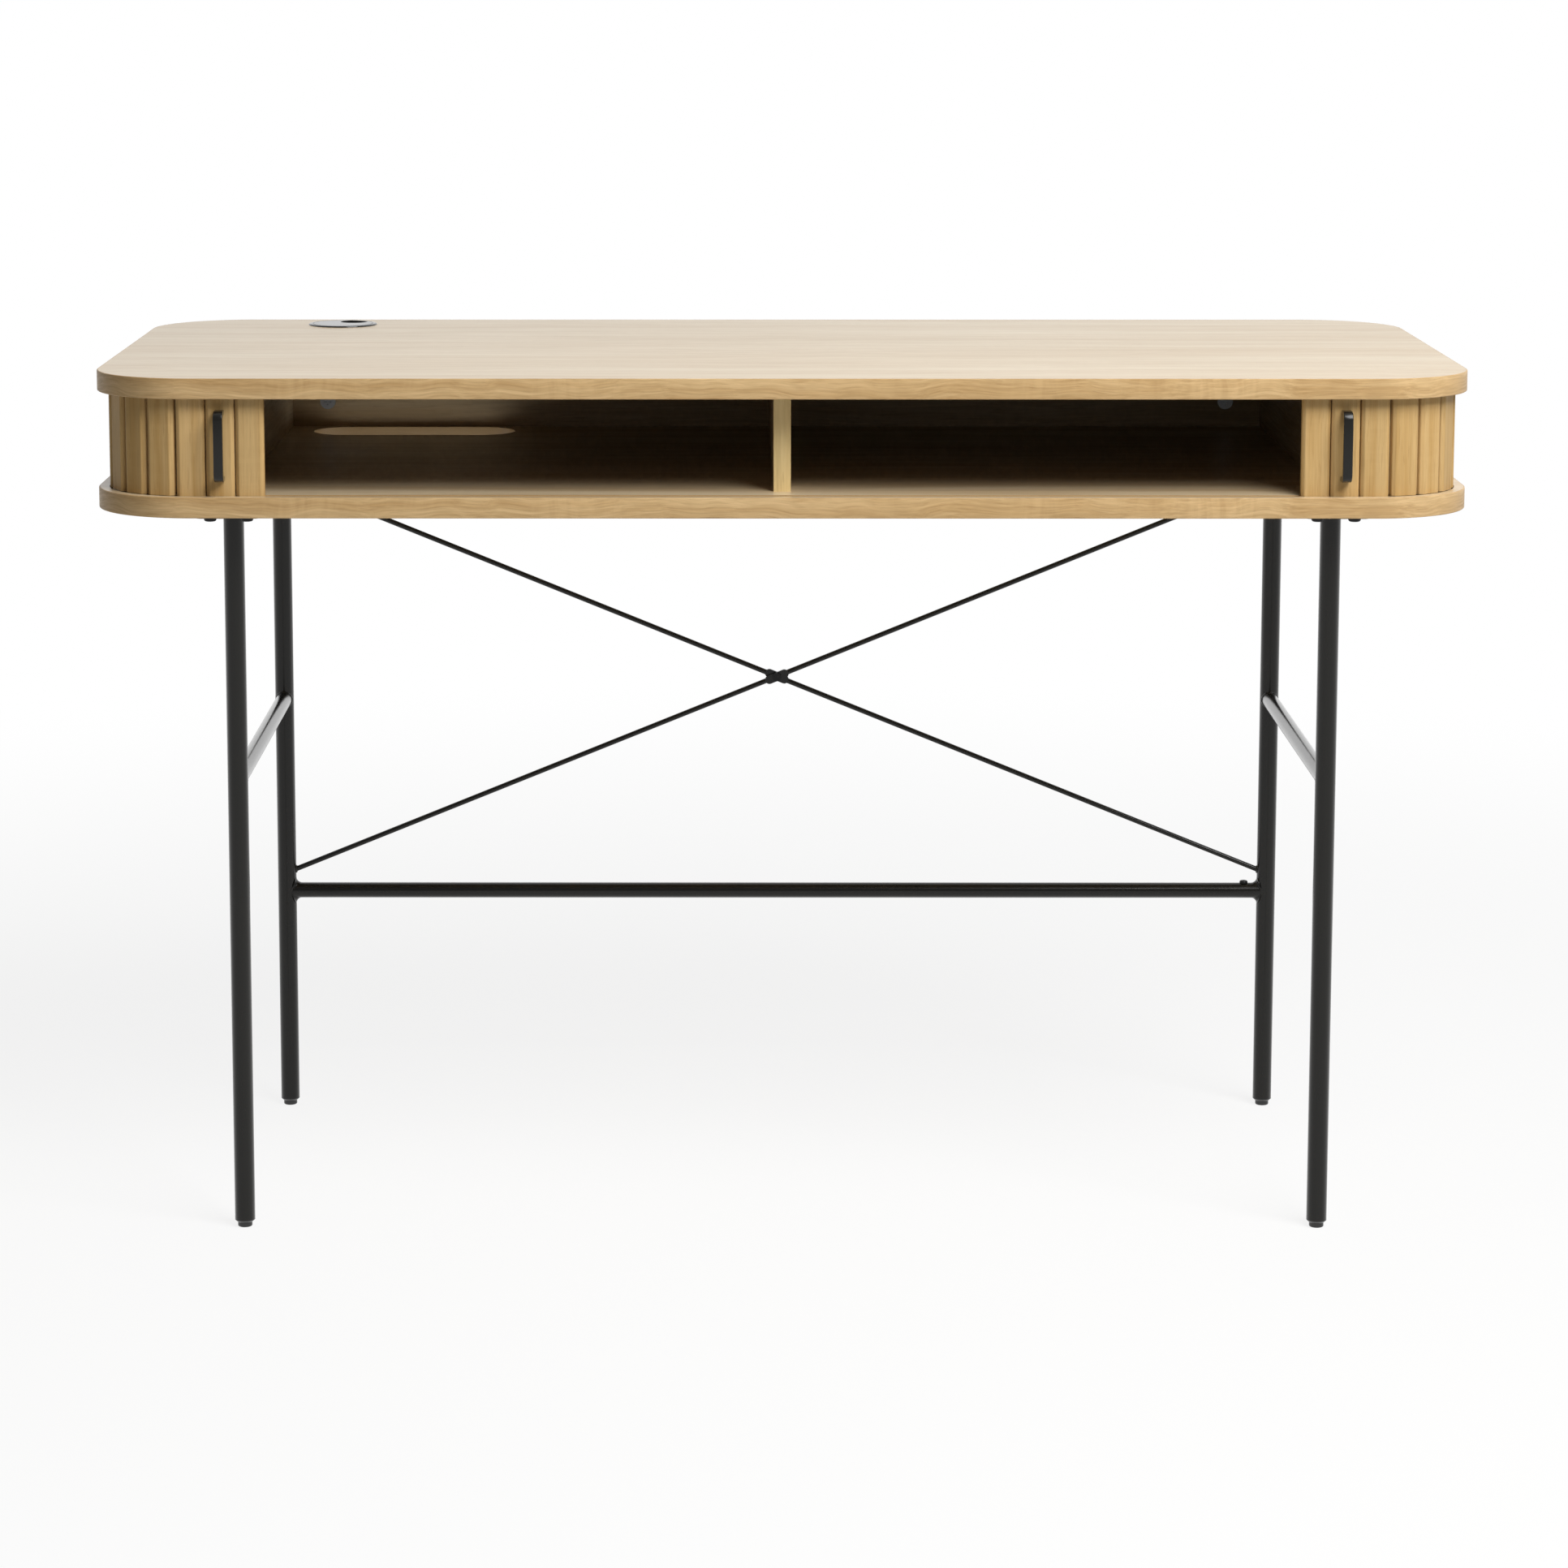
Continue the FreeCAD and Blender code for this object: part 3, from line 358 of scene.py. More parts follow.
        # Core on the faces that look sideways, and paper on the underside of the top
        own = add(tree, "ShaderNodeTexCoord").node.outputs
        for source, level, near, over in (("Normal", 0.0, 0.5, colours.core),
                                          ("Object", top_low.z, 0.0003, colours.backing)):
            height = add(tree, "ShaderNodeSeparateXYZ", {0: own[source]}, out="Z")
            share = add(tree, "ShaderNodeMath", {0: height, 1: level, 2: near}, operation="COMPARE")
            coats.append((share, rgba(over), "MIX"))
    shade = rgba(light)
    for share, over, way in coats:
        shade = add(tree, "ShaderNodeMix", {0: share, 6: shade, 7: over}, out=2, data_type="RGBA",
                    blend_type=way)
    bump = add(tree, "ShaderNodeBump", {"Strength": 0.25, "Distance": 0.0003, "Height": layers["pores"]},
               invert=True)
    fill(tree, surface, {"Base Color": shade, "Roughness": layers["matt"], "Normal": bump, "IOR": 1.5,
                         "Specular IOR Level": 0.12 + lacquer * 0.6, "Coat Weight": lacquer,
                         "Coat Roughness": 0.28})
    return material


def grained(name, base, roughness, grit, relief, sockets):
    """A plain moulded, coated or plated surface: fine grit as bump, and slow blotches in tone and gloss."""
    material, tree, surface = new_finish(name)
    base = getattr(bpy.context.scene.desk_finishes, base)
    place = add(tree, "ShaderNodeTexCoord", out="Object")
    fine, slow = (add(tree, "ShaderNodeTexNoise", {"Vector": place, "Scale": scale, "Detail": 2.0})
                  for scale in (1 / grit, BLOTCHES))
    low, high = (rgba([min(1.0, part * share) for part in base]) for share in (0.9, 1.1))
    tone = add(tree, "ShaderNodeMix", {0: slow, 6: low, 7: high}, out=2, data_type="RGBA")
    gloss = add(tree, "ShaderNodeMapRange", {"Value": slow, "To Min": roughness * 0.9,
                                             "To Max": roughness * 1.1})
    bump = add(tree, "ShaderNodeBump", {"Strength": 0.35, "Distance": relief, "Height": fine})
    fill(tree, surface, {"Base Color": tone, "Roughness": gloss, "Normal": bump, **sockets})
    return material


def cotton_canvas(name):
    """Plain-woven cotton canvas: dull, with over and under threads 0.9 mm apart, drawn 1.8 mm apart to
    show."""
    material, tree, surface = new_finish(name)
    thread = bpy.context.scene.desk_finishes.canvas
    place = add(tree, "ShaderNodeTexCoord", out="UV")
    bands = {"Vector": place, "Scale": WAVE_LENGTH / THREAD_SPACING, "Distortion": 0.4}
    warp, weft = (add(tree, "ShaderNodeTexWave", bands, out="Fac", bands_direction=way) for way in "XY")
    weave = add(tree, "ShaderNodeMath", {0: warp, 1: weft}, operation="MULTIPLY")
    # Painted shade: the weave's hollows, where the threads dip, are drawn at 0.6 of the thread's colour
    dark = rgba([part * 0.6 for part in thread])
    tone = add(tree, "ShaderNodeMix", {0: weave, 6: dark, 7: rgba(thread)}, out=2, data_type="RGBA")
    bump = add(tree, "ShaderNodeBump", {"Strength": 0.5, "Distance": 0.0003, "Height": weave})
    fill(tree, surface, {"Base Color": tone, "Normal": bump, "Roughness": 0.9})
    return material


def board_veneer(name):
    """Flat-cut oak veneer on the wide boards, its grain along the desk. Slots and grooves show the board's
    core, and brown paper balances the veneer under the top."""
    return oak(name, "veneer", grain=0, ring_width=0.030, fibre=VENEER_FIBRE, flecks=0.06, sway=(0.020, 0.30),
               lacquer=0.6, board=True)


def back_veneer(name):
    """The same veneer on the back panel, its grain along the desk."""
    return oak(name, "veneer", grain=0, ring_width=0.030, fibre=VENEER_FIBRE, flecks=0.06, sway=(0.020, 0.30),
               lacquer=0.3)


def upright_veneer(name):
    """The same veneer on the upright boards, its grain from front to back."""
    return oak(name, "veneer", grain=1, ring_width=0.024, fibre=VENEER_FIBRE, flecks=0.06, sway=(0.015, 0.20),
               lacquer=0.3)


def lipping_veneer(name):
    """Narrow oak strip on the uprights' front edges, its grain upright, drawn paler than the bands' oak as
    painted light.
    """
    return oak(name, "lipping", grain=2, ring_width=0.012, fibre=(0.06, 0.0020, 0.08), flecks=0.1,
               sway=(0.003, 0.06), lacquer=0.1)


def band_veneer(name):
    """Oak veneer band that follows the boards' edges, with lively ray fleck."""
    return oak(name, "band", grain=0, ring_width=0.010, fibre=(0.040, 0.0017, 0.14), flecks=0.2,
               sway=(0.016, 0.060), lacquer=0.1, coordinates="UV")


def slat_oak(name):
    """Solid oak slats with upright grain, each cut from another board."""
    return oak(name, "slat", grain=2, ring_width=0.009, fibre=(0.05, 0.0015, 0.07), flecks=0.1,
               sway=(0.004, 0.07), lacquer=0.0, by_slat=True)


def powder_coat(name):
    """Satin black polyester powder coat on steel: deep black from the front and a white sheen along the
    tubes, with faint orange peel, 1.5 mm from crest to crest."""
    return grained(name, "steel", roughness=0.26, grit=0.0015, relief=0.00004, sockets={
        "IOR": 1.5, "Specular Tint": (0.3, 0.3, 0.3, 1), "Coat Weight": 1.0, "Coat IOR": 1.25,
        "Coat Roughness": 0.2})


def moulded_plastic(name):
    """Black ABS from a polished mould: a clear sheen over a faint even grit of 0.8 mm."""
    return grained(name, "plastic", roughness=0.12, grit=0.0008, relief=0.00001, sockets={"IOR": 1.54})


def blackened_screws(name):
    """Steel screws with black oxide: a dark metal, a little rougher than the coat round them."""
    return grained(name, "screws", roughness=0.36, grit=0.0006, relief=0.00003, sockets={"Metallic": 0.6})


def zinc_plate(name):
    """Bright zinc plating on die-cast cams and steel screws, slightly cloudy."""
    return grained(name, "zinc", roughness=0.42, grit=0.001, relief=0.00003, sockets={"Metallic": 1.0})


def raw_beech(name):
    """Raw beech dowels: even and pale, with the short flecks of beech as grit."""
    return grained(name, "beech", roughness=0.65, grit=0.002, relief=0.0001, sockets={"IOR": 1.5})


FINISHES = {make.__name__: make for make in (
    board_veneer, back_veneer, upright_veneer, lipping_veneer, band_veneer, slat_oak, powder_coat,
    moulded_plastic, blackened_screws, zinc_plate, raw_beech, cotton_canvas)}


def finish(name):
    """A material by name, made when it is first asked for."""
    return bpy.data.materials.get(name) or FINISHES[name](name)


# Shapes shared by several pieces

def arc(centre, radius, start, turn, steps):
    """Points on an arc in plan, from one angle through another, each with its outward direction."""
    ways = [start + turn * step / steps for step in range(steps + 1)]
    outs = [Vector((math.cos(way), math.sin(way), 0)) for way in ways]
    return [(centre + out * radius, out) for out in outs]


def quarter(centre, radius, start, steps=4):
    """Points of a quarter turn in a section, as pairs."""
    ways = [start + QUARTER * step / steps for step in range(steps + 1)]
    return [(centre[0] + math.cos(way) * radius, centre[1] + math.sin(way) * radius) for way in ways]


def rounded_section(half_width, half_height, radius):
    """A rectangle with round corners, as pairs, anticlockwise."""
    across, up = half_width - radius, half_height - radius
    centres = ((across, up), (-across, up), (-across, -up), (across, -up))
    return [point for turn, centre in enumerate(centres)
            for point in quarter(centre, radius, QUARTER * turn, steps=3)]


def lengths(points):
    """Distances along a line of points, from its start."""
    far = [0.0]
    for first, second in zip(points, points[1:]):
        far.append(far[-1] + (Vector(second) - Vector(first)).length)
    return far


def lifted(line, section):
    """A section, given outward and upward, at each point of a line in plan."""
    return [[point + out * away + UP * height for away, height in section] for point, out in line]


def skin(name, rings, caps=False, loop=False, chart=None, sharp_degrees=35):
    """The mesh through rings of points, smooth but for its sharp edges. It has flat ends, or loops back to
    its first ring. A chart has the distances along the rings and round them, for a map in metres."""
    shape = bmesh.new()
    layer = shape.loops.layers.uv.new("UVMap") if chart else None
    rows = [[shape.verts.new(point) for point in ring] for ring in rings]
    count, points = len(rows), len(rows[0])
    faces = [((here, low), (here + 1, low), (here + 1, low + 1), (here, low + 1))
             for here in range(count if loop else count - 1) for low in range(points)]
    if caps:
        faces += [[(end, low) for low in range(points)] for end in (0, count - 1)]
    for corners in faces:
        face = shape.faces.new([rows[way % count][rise % points] for way, rise in corners])
        if chart:
            for corner, (way, rise) in zip(face.loops, corners):
                corner[layer].uv = (chart[0][way], chart[1][rise])
    bmesh.ops.remove_doubles(shape, verts=shape.verts, dist=MERGE)
    bmesh.ops.recalc_face_normals(shape, faces=shape.faces)
    mesh = bpy.data.meshes.new(name)
    shape.to_mesh(mesh)
    shape.free()
    mesh.shade_smooth()
    mesh.set_sharp_from_angle(angle=math.radians(sharp_degrees))
    return mesh


def swept_bar(name, path, across, section):
    """A bar along a flat path. The section is given across the path's plane and outward in it."""
    rings = []
    for step, point in enumerate(path):
        way = (path[min(step + 1, len(path) - 1)] - path[max(step - 1, 0)]).normalized()
        out = across.cross(way)
        rings.append([point + across * side + out * rise for side, rise in section])
    return skin(name, rings, caps=True)


def turned(name, section, segments=24, centre=Vector((0, 0, 0))):
    """A turned shape about an upright axis. A radius may be a number or a rule for each angle."""
    ways = [math.tau * step / segments for step in range(segments)]
    rings = []
    for radius, height in section:
        reach = [radius(way) if callable(radius) else radius for way in ways]
        rings.append([centre + Vector((math.cos(way) * far, math.sin(way) * far, height))
                      for way, far in zip(ways, reach)])
    return skin(name, rings)


def socket_screw(name, radius, height, bevel, key, depth):
    """The head of a screw with a hexagon socket, standing on its seat and looking up."""
    def hexagon(way):
        return key * math.cos(math.pi / 6) / math.cos(way % (math.pi / 3) - math.pi / 6)

    section = [(AXIS, 0), (radius, 0)] + quarter((radius - bevel, height - bevel), bevel, 0)
    section += [(hexagon, height), (hexagon, height - depth), (AXIS, height - depth)]
    return turned(name, section)


# Cabinet

class DESK_OT_panels(bpy.types.Operator):
    """Give the boards and their hidden dowels their wood"""
    bl_idname = "desk.panels"
    bl_label = "Boards"

    def execute(self, context):
        lipping = context.scene.desk_cabinet.lipping
        dress("board_veneer", "desk_top", "base_panel")
        dress("back_veneer", "back_panel")
        dress("upright_veneer", *UPRIGHTS)
        dress("raw_beech", "dowels")
        for board in UPRIGHTS:
            low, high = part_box(board)
            middle = Vector(((low.x + high.x) / 2, low.y - lipping / 2, 0))
            path = [middle + UP * low.z, middle + UP * high.z]
            section = rounded_section((high.x - low.x) / 2, lipping / 2, lipping / 3)
            strip = swept_bar(board + "_lipping", path, RIGHT, section)
            stand(board + "_lipping", strip, "desk", "oak_edge", "lipping_veneer")
        return {"FINISHED"}


class DESK_OT_edge_bands(bpy.types.Operator):
    """Make the veneer bands round the top and the base"""
    bl_idname = "desk.edge_bands"
    bl_label = "Edge bands"

    def execute(self, context):
        sizes = context.scene.desk_cabinet
        bend = sizes.band_round
        rim = self.rim(sizes.corner_radius)
        for node, low, high in (("top_edge_band", top_low.z, top_high.z),
                                ("base_edge_band", base_low.z, base_high.z)):
            section = [(-sizes.band, low)] + quarter((-bend, low + bend), bend, -QUARTER)
            section += quarter((-bend, high - bend), bend, 0) + [(-sizes.band, high)]
            # The map runs along the edge and up it
            chart = lengths([point for point, _ in rim + rim[:1]]), lengths(section + section[:1])
            band = skin(node, lifted(rim, section), loop=True, chart=chart, sharp_degrees=50)
            stand(node + "_veneer", band, "desk", "oak_edge", "band_veneer", node)
        return {"FINISHED"}

    def rim(self, radius):
        """The outline of the boards, anticlockwise from the middle of the back, with outward directions."""
        rim = [(Vector((0, top_high.y, 0)), BACK)]
        for number, (x, y) in enumerate(((-1, 1), (-1, -1), (1, -1), (1, 1))):
            centre = Vector((x * (top_high.x - radius), y * (top_high.y - radius), 0))
            rim += arc(centre, radius, QUARTER * (number + 1), QUARTER, steps=24)
        return rim


class DESK_OT_fittings(bpy.types.Operator):
    """Give the cam locks, bolts and inserts their plating"""
    bl_idname = "desk.fittings"
    bl_label = "Knock-down fittings"

    def execute(self, context):
        dress("zinc_plate", "cam_locks", "cam_bolts", "plate_inserts")
        return {"FINISHED"}


class DESK_OT_grommet(bpy.types.Operator):
    """Make the grommet's ring with a rounded rim, and finish its cap"""
    bl_idname = "desk.grommet"
    bl_label = "Cable grommet"

    def execute(self, context):
        bend = context.scene.desk_cabinet.grommet_round
        low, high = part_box("grommet_ring")
        cap_low, cap_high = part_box("grommet_cap")
        flange = (high.x - low.x) / 2
        sleeve = flange - FLANGE_REACH
        bore = sleeve - SLEEVE_WALL
        seat = (cap_high.x - cap_low.x) / 2 + CAP_ROOM
        step = high.z - FLANGE_HEIGHT
        section = [(bore, low.z), (sleeve, low.z), (sleeve, step), (flange, step)]
        section += quarter((flange - bend, high.z - bend), bend, 0)
        section += [(seat + bend / 2, high.z), (seat, high.z - bend / 2), (seat, step), (bore, step)]
        section += section[:1]
        ring = turned("grommet_ring_moulded", section, segments=96, centre=(low + high) / 2 * IN_PLAN)
        stand("grommet_ring_moulded", ring, "desk", "grommet_plastic", "moulded_plastic", "grommet_ring")
        dress("moulded_plastic", "grommet_cap")
        return {"FINISHED"}


# Curtains

class CurtainPath:
    """The line of the cloth round the left end of the cabinet, and round the right end by mirroring."""

    def __init__(self, context):
        sizes = context.scene.desk_curtain
        radius = context.scene.desk_cabinet.corner_radius
        self.pitch = sizes.pitch
        self.straight_x = top_high.x - radius
        self.straight_y = top_high.y - radius
        self.bend = radius - sizes.inset - sizes.thickness - sizes.cloth / 2
        self.corner = self.bend * QUARTER
        self.length = self.straight_x + 2 * self.corner + 2 * self.straight_y

    def run(self, slat):
        """Distance of a slat's middle from the middle of the desk's front."""
        return self.straight_x + (slat - LEAD_SLATS) * self.pitch

    def place(self, run, mirror):
        """Point on the cloth and its outward direction, at a distance from the middle of the front."""
        past = run - self.straight_x
        if past <= 0:
            point, out = Vector((-run, -self.straight_y - self.bend, 0)), -BACK
        elif self.corner < past <= self.corner + 2 * self.straight_y:
            point = Vector((-self.straight_x - self.bend, past - self.corner - self.straight_y, 0))
            out = -RIGHT
        else:
            rear = past > self.corner
            turn = (past - 2 * self.straight_y) / self.bend if rear else past / self.bend
            out = Vector((-math.sin(turn), -math.cos(turn), 0))
            centre = Vector((-self.straight_x, self.straight_y if rear else -self.straight_y, 0))
            point = centre + out * self.bend
        flip = Vector((mirror, 1, 1))
        return point * flip, out * flip

    def curve(self, name, mirror):
        """The line as a smooth curve, drawn so that its left hand is the outside."""
        far_x, far_y = self.straight_x + self.bend, self.straight_y + self.bend
        knots = [((0, -far_y), (-1, 0)), ((-self.straight_x, -far_y), (-1, 0)),
                 ((-far_x, -self.straight_y), (0, 1)), ((-far_x, self.straight_y), (0, 1)),
                 ((-self.straight_x, far_y), (1, 0))]
        if mirror < 0:
            knots = [((-x, y), (along, -rise)) for (x, y), (along, rise) in reversed(knots)]
        curve = bpy.data.curves.new(name, "CURVE")
        curve.dimensions = "3D"
        curve.resolution_u = 64
        spline = curve.splines.new("BEZIER")
        spline.bezier_points.add(len(knots) - 1)
        for knot, (point, way) in zip(spline.bezier_points, knots):
            knot.handle_left_type = knot.handle_right_type = "FREE"
            knot.co = Vector((*point, 0))
            pull = Vector((*way, 0)) * self.bend * ARC_PULL
            knot.handle_left, knot.handle_right = knot.co - pull, knot.co + pull
        return link(name, curve)


def slat_tree():
    """Slats along a curve: one bevelled section with softened edges, raised to its height and repeated."""
    tree, given = node_tree("Tambour slats", {
        "Path": "Object", "First": "Float", "Step": "Float", "Count": "Int", "Width": "Float",
        "Thickness": "Float", "Bevel width": "Float", "Bevel depth": "Float", "Softness": "Float",
        "Back": "Float", "Low": "Float", "High": "Float", "Seed": "Int", "Wood": "Material"})
    values = {socket.name: socket for socket in given}
    values["Index"] = add(tree, "GeometryNodeInputIndex")
    # The section's first and last corners lie on the cloth and stay crisp, the four between are softened
    for name, first, operation, second in (
            ("half", "Width", "MULTIPLY", 0.5), ("minus half", "half", "MULTIPLY", -1.0),
            ("land", "half", "SUBTRACT", "Bevel width"), ("minus land", "land", "MULTIPLY", -1.0),
            ("front", "Back", "ADD", "Thickness"), ("shoulder", "front", "SUBTRACT", "Bevel depth"),
            ("rise", "High", "SUBTRACT", "Low"), ("past", "Index", "MULTIPLY", "Step"),
            ("run", "past", "ADD", "First"), ("corner", "Index", "MODULO", 5.0),
            ("soft", "corner", "MINIMUM", 1.0), ("share", "soft", "MAXIMUM", 0.15),
            ("round", "share", "MULTIPLY", "Softness")):
        values[name] = add(tree, "ShaderNodeMath", {0: values[first], 1: values.get(second, second)},
                           operation=operation)
    corners = (("minus half", "Back"), ("minus half", "shoulder"), ("minus land", "front"),
               ("land", "front"), ("half", "shoulder"), ("half", "Back"))
    chosen = add(tree, "GeometryNodeIndexSwitch", data_type="VECTOR").node
    while len(chosen.index_switch_items) < len(corners):
        chosen.index_switch_items.new()
    fill(tree, chosen, {"Index": values["Index"]})
    for number, (x, y) in enumerate(corners):
        fill(tree, chosen, {number + 1: add(tree, "ShaderNodeCombineXYZ", {"X": values[x], "Y": values[y]})})
    low, rise = (add(tree, "ShaderNodeCombineXYZ", {"Z": values[height]}) for height in ("Low", "rise"))
    foot = add(tree, "GeometryNodePoints", {"Count": len(corners), "Position": chosen.outputs[0]})
    for kind, inputs, settings in (
            ("GeometryNodePointsToCurves", {}, {}),
            ("GeometryNodeSetSplineCyclic", {"Cyclic": True}, {}),
            ("GeometryNodeFilletCurve", {"Count": 6, "Radius": values["round"], "Limit Radius": True},
             {"mode": "POLY"}),
            ("GeometryNodeFillCurve", {}, {"mode": "NGONS"}),
            ("GeometryNodeSetPosition", {"Offset": low}, {})):
        foot = add(tree, kind, {0: foot, **inputs}, **settings)
    body = add(tree, "GeometryNodeExtrudeMesh", {"Mesh": foot, "Offset": rise, "Offset Scale": 1.0,
                                                 "Individual": False})
    whole = add(tree, "GeometryNodeJoinGeometry").node
    for part in (body, add(tree, "GeometryNodeFlipFaces", {"Mesh": foot})):
        fill(tree, whole, {0: part})
    slat = add(tree, "GeometryNodeMergeByDistance", {"Geometry": whole.outputs[0], "Distance": 1e-6})
    line = add(tree, "GeometryNodeObjectInfo", {"Object": given["Path"]}, out="Geometry")
    spot = add(tree, "GeometryNodeSampleCurve", {"Curves": line, "Length": values["run"]}, mode="LENGTH",
               use_all_curves=True).node.outputs
    places = add(tree, "GeometryNodePoints", {"Count": given["Count"], "Position": spot["Position"]})
    facing = add(tree, "FunctionNodeAlignRotationToVector", {"Vector": spot["Tangent"]}, axis="X",
                 pivot_axis="Z")
    row = add(tree, "GeometryNodeInstanceOnPoints", {"Points": places, "Instance": slat, "Rotation": facing})
    tone = add(tree, "FunctionNodeRandomValue", {"Seed": given["Seed"]}, out=1, data_type="FLOAT")
    row = add(tree, "GeometryNodeStoreNamedAttribute", {"Geometry": row, "Name": "slat_tone", "Value": tone},
              data_type="FLOAT", domain="INSTANCE")
    close_tree(tree, row, given["Wood"])
    return tree


class DESK_OT_slats(bpy.types.Operator):
    """Make the slats of both curtains"""
    bl_idname = "desk.slats"
    bl_label = "Slats"

    def execute(self, context):
        sizes = context.scene.desk_curtain
        path = CurtainPath(context)
        tree = slat_tree()
        for side, mirror in SIDES:
            line = path.curve(side + "_cloth_line", mirror)
            for number, (body, node, first, count) in enumerate(SLAT_RUNS):
                low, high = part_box(side + "_" + node)
                start = path.run(first) if mirror > 0 else path.length - path.run(first)
                name = side + "_" + body + "_oak_slats"
                mesh = grown(tree, name, {
                    "Path": line, "First": start, "Step": mirror * path.pitch, "Count": count,
                    "Width": path.pitch - sizes.gap, "Thickness": sizes.thickness,
                    "Bevel width": sizes.bevel_width, "Bevel depth": sizes.bevel_depth,
                    "Softness": sizes.softness, "Back": sizes.cloth / 2, "Low": low.z, "High": high.z,
                    "Seed": sizes.seed + number * 10 + mirror, "Wood": finish("slat_oak")})
                stand(name, mesh, side + "_" + body, "oak_slat", "slat_oak", side + "_" + node)
            bpy.data.objects.remove(line)
        return {"FINISHED"}


class DESK_OT_cloth(bpy.types.Operator):
    """Make the canvas on the slats' backs"""
    bl_idname = "desk.cloth"
    bl_label = "Canvas backing"

    def execute(self, context):
        sizes = context.scene.desk_curtain
        path = CurtainPath(context)
        half = sizes.cloth / 2
        for side, mirror in SIDES:
            cloth_low, cloth_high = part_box(side + "_side_cloth")
            low, high = cloth_low.z, cloth_high.z
            section = [(half, low), (half, high), (-half, high), (-half, low)]
            for body, _, first, count in SLAT_RUNS:
                line = self.line(path, first, count, sizes.gap / 2 + sizes.cloth_margin, mirror)
                name = side + "_" + body + "_canvas"
                nodes = {"lead": [side + "_front_cloth"], "side": [side + "_side_cloth"]}.get(body, [])
                along = lengths([point for point, _ in line])
                chart = along, [low, high, high, low, low]
                mesh = skin(name, lifted(line, section), caps=True, chart=chart)
                piece = stand(name, mesh, side + "_" + body, "backing_cloth", "cotton_canvas", *nodes)
        return {"FINISHED"}

    def line(self, path, first, count, hem, mirror):
        """The cloth's line behind a run of slats, flat on each back, with outward directions. It goes on to
        the folds at both ends, but for the curtain's own ends."""
        line = []
        for slat in range(first, first + count):
            point, out = path.place(path.run(slat), mirror)
            along = Vector((out.y, -out.x, 0)) * mirror
            before, after = (path.pitch / 2 - (hem if slat == end else FOLD_GAP) for end in (1, LAST_SLAT))
            line += [(point - along * before, out), (point + along * after, out)]
        return line


class DESK_OT_handles(bpy.types.Operator):
    """Make the two bracket handles from a bent flat bar"""
    bl_idname = "desk.handles"
    bl_label = "Handles"

    def execute(self, context):
        sizes = context.scene.desk_fittings
        bar = sizes.handle_bar
        bend = sizes.handle_corner - bar / 2
        for side, _ in SIDES:
            low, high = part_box(side + "_handle")
            middle = (low + high) / 2
            out, rise = high.y - low.y - bar / 2, (high.z - low.z - bar) / 2
            flat = [(0, rise)] + quarter((out - bend, rise - bend), bend, 0, steps=8)[::-1]
            flat += [(far, -height) for far, height in reversed(flat)]
            path = [Vector((middle.x, high.y - far, middle.z + height)) for far, height in flat]
            section = rounded_section((high.x - low.x) / 2, bar / 2, sizes.handle_edge)
            stand(side + "_bracket_handle", swept_bar(side + "_bracket_handle", path, RIGHT, section),
                  side + "_lead", "black_steel", "powder_coat", side + "_handle")
        return {"FINISHED"}


# Fixings and frame

def fixing_tree():
    """One shape on every point of a mesh, looking the way that the point's facing says, each at its own
    turn."""
    tree, given = node_tree("Fixings", {"Places": "Object", "Shape": "Object", "Seed": "Int",
                                        "Metal": "Material"})
    places, shape = (add(tree, "GeometryNodeObjectInfo", {"Object": given[part]}, out="Geometry")
                     for part in ("Places", "Shape"))
    looks = add(tree, "GeometryNodeInputNamedAttribute", {"Name": "facing"}, data_type="FLOAT_VECTOR")
    turn = add(tree, "FunctionNodeRandomValue", {3: math.tau, "Seed": given["Seed"]}, out=1,
               data_type="FLOAT")
    spin = add(tree, "FunctionNodeEulerToRotation", {0: add(tree, "ShaderNodeCombineXYZ", {"Z": turn})})
    facing = add(tree, "FunctionNodeAlignRotationToVector", {"Rotation": spin, "Vector": looks}, axis="Z")
    row = add(tree, "GeometryNodeInstanceOnPoints", {"Points": places, "Instance": shape, "Rotation": facing})
    close_tree(tree, row, given["Metal"])
    return tree


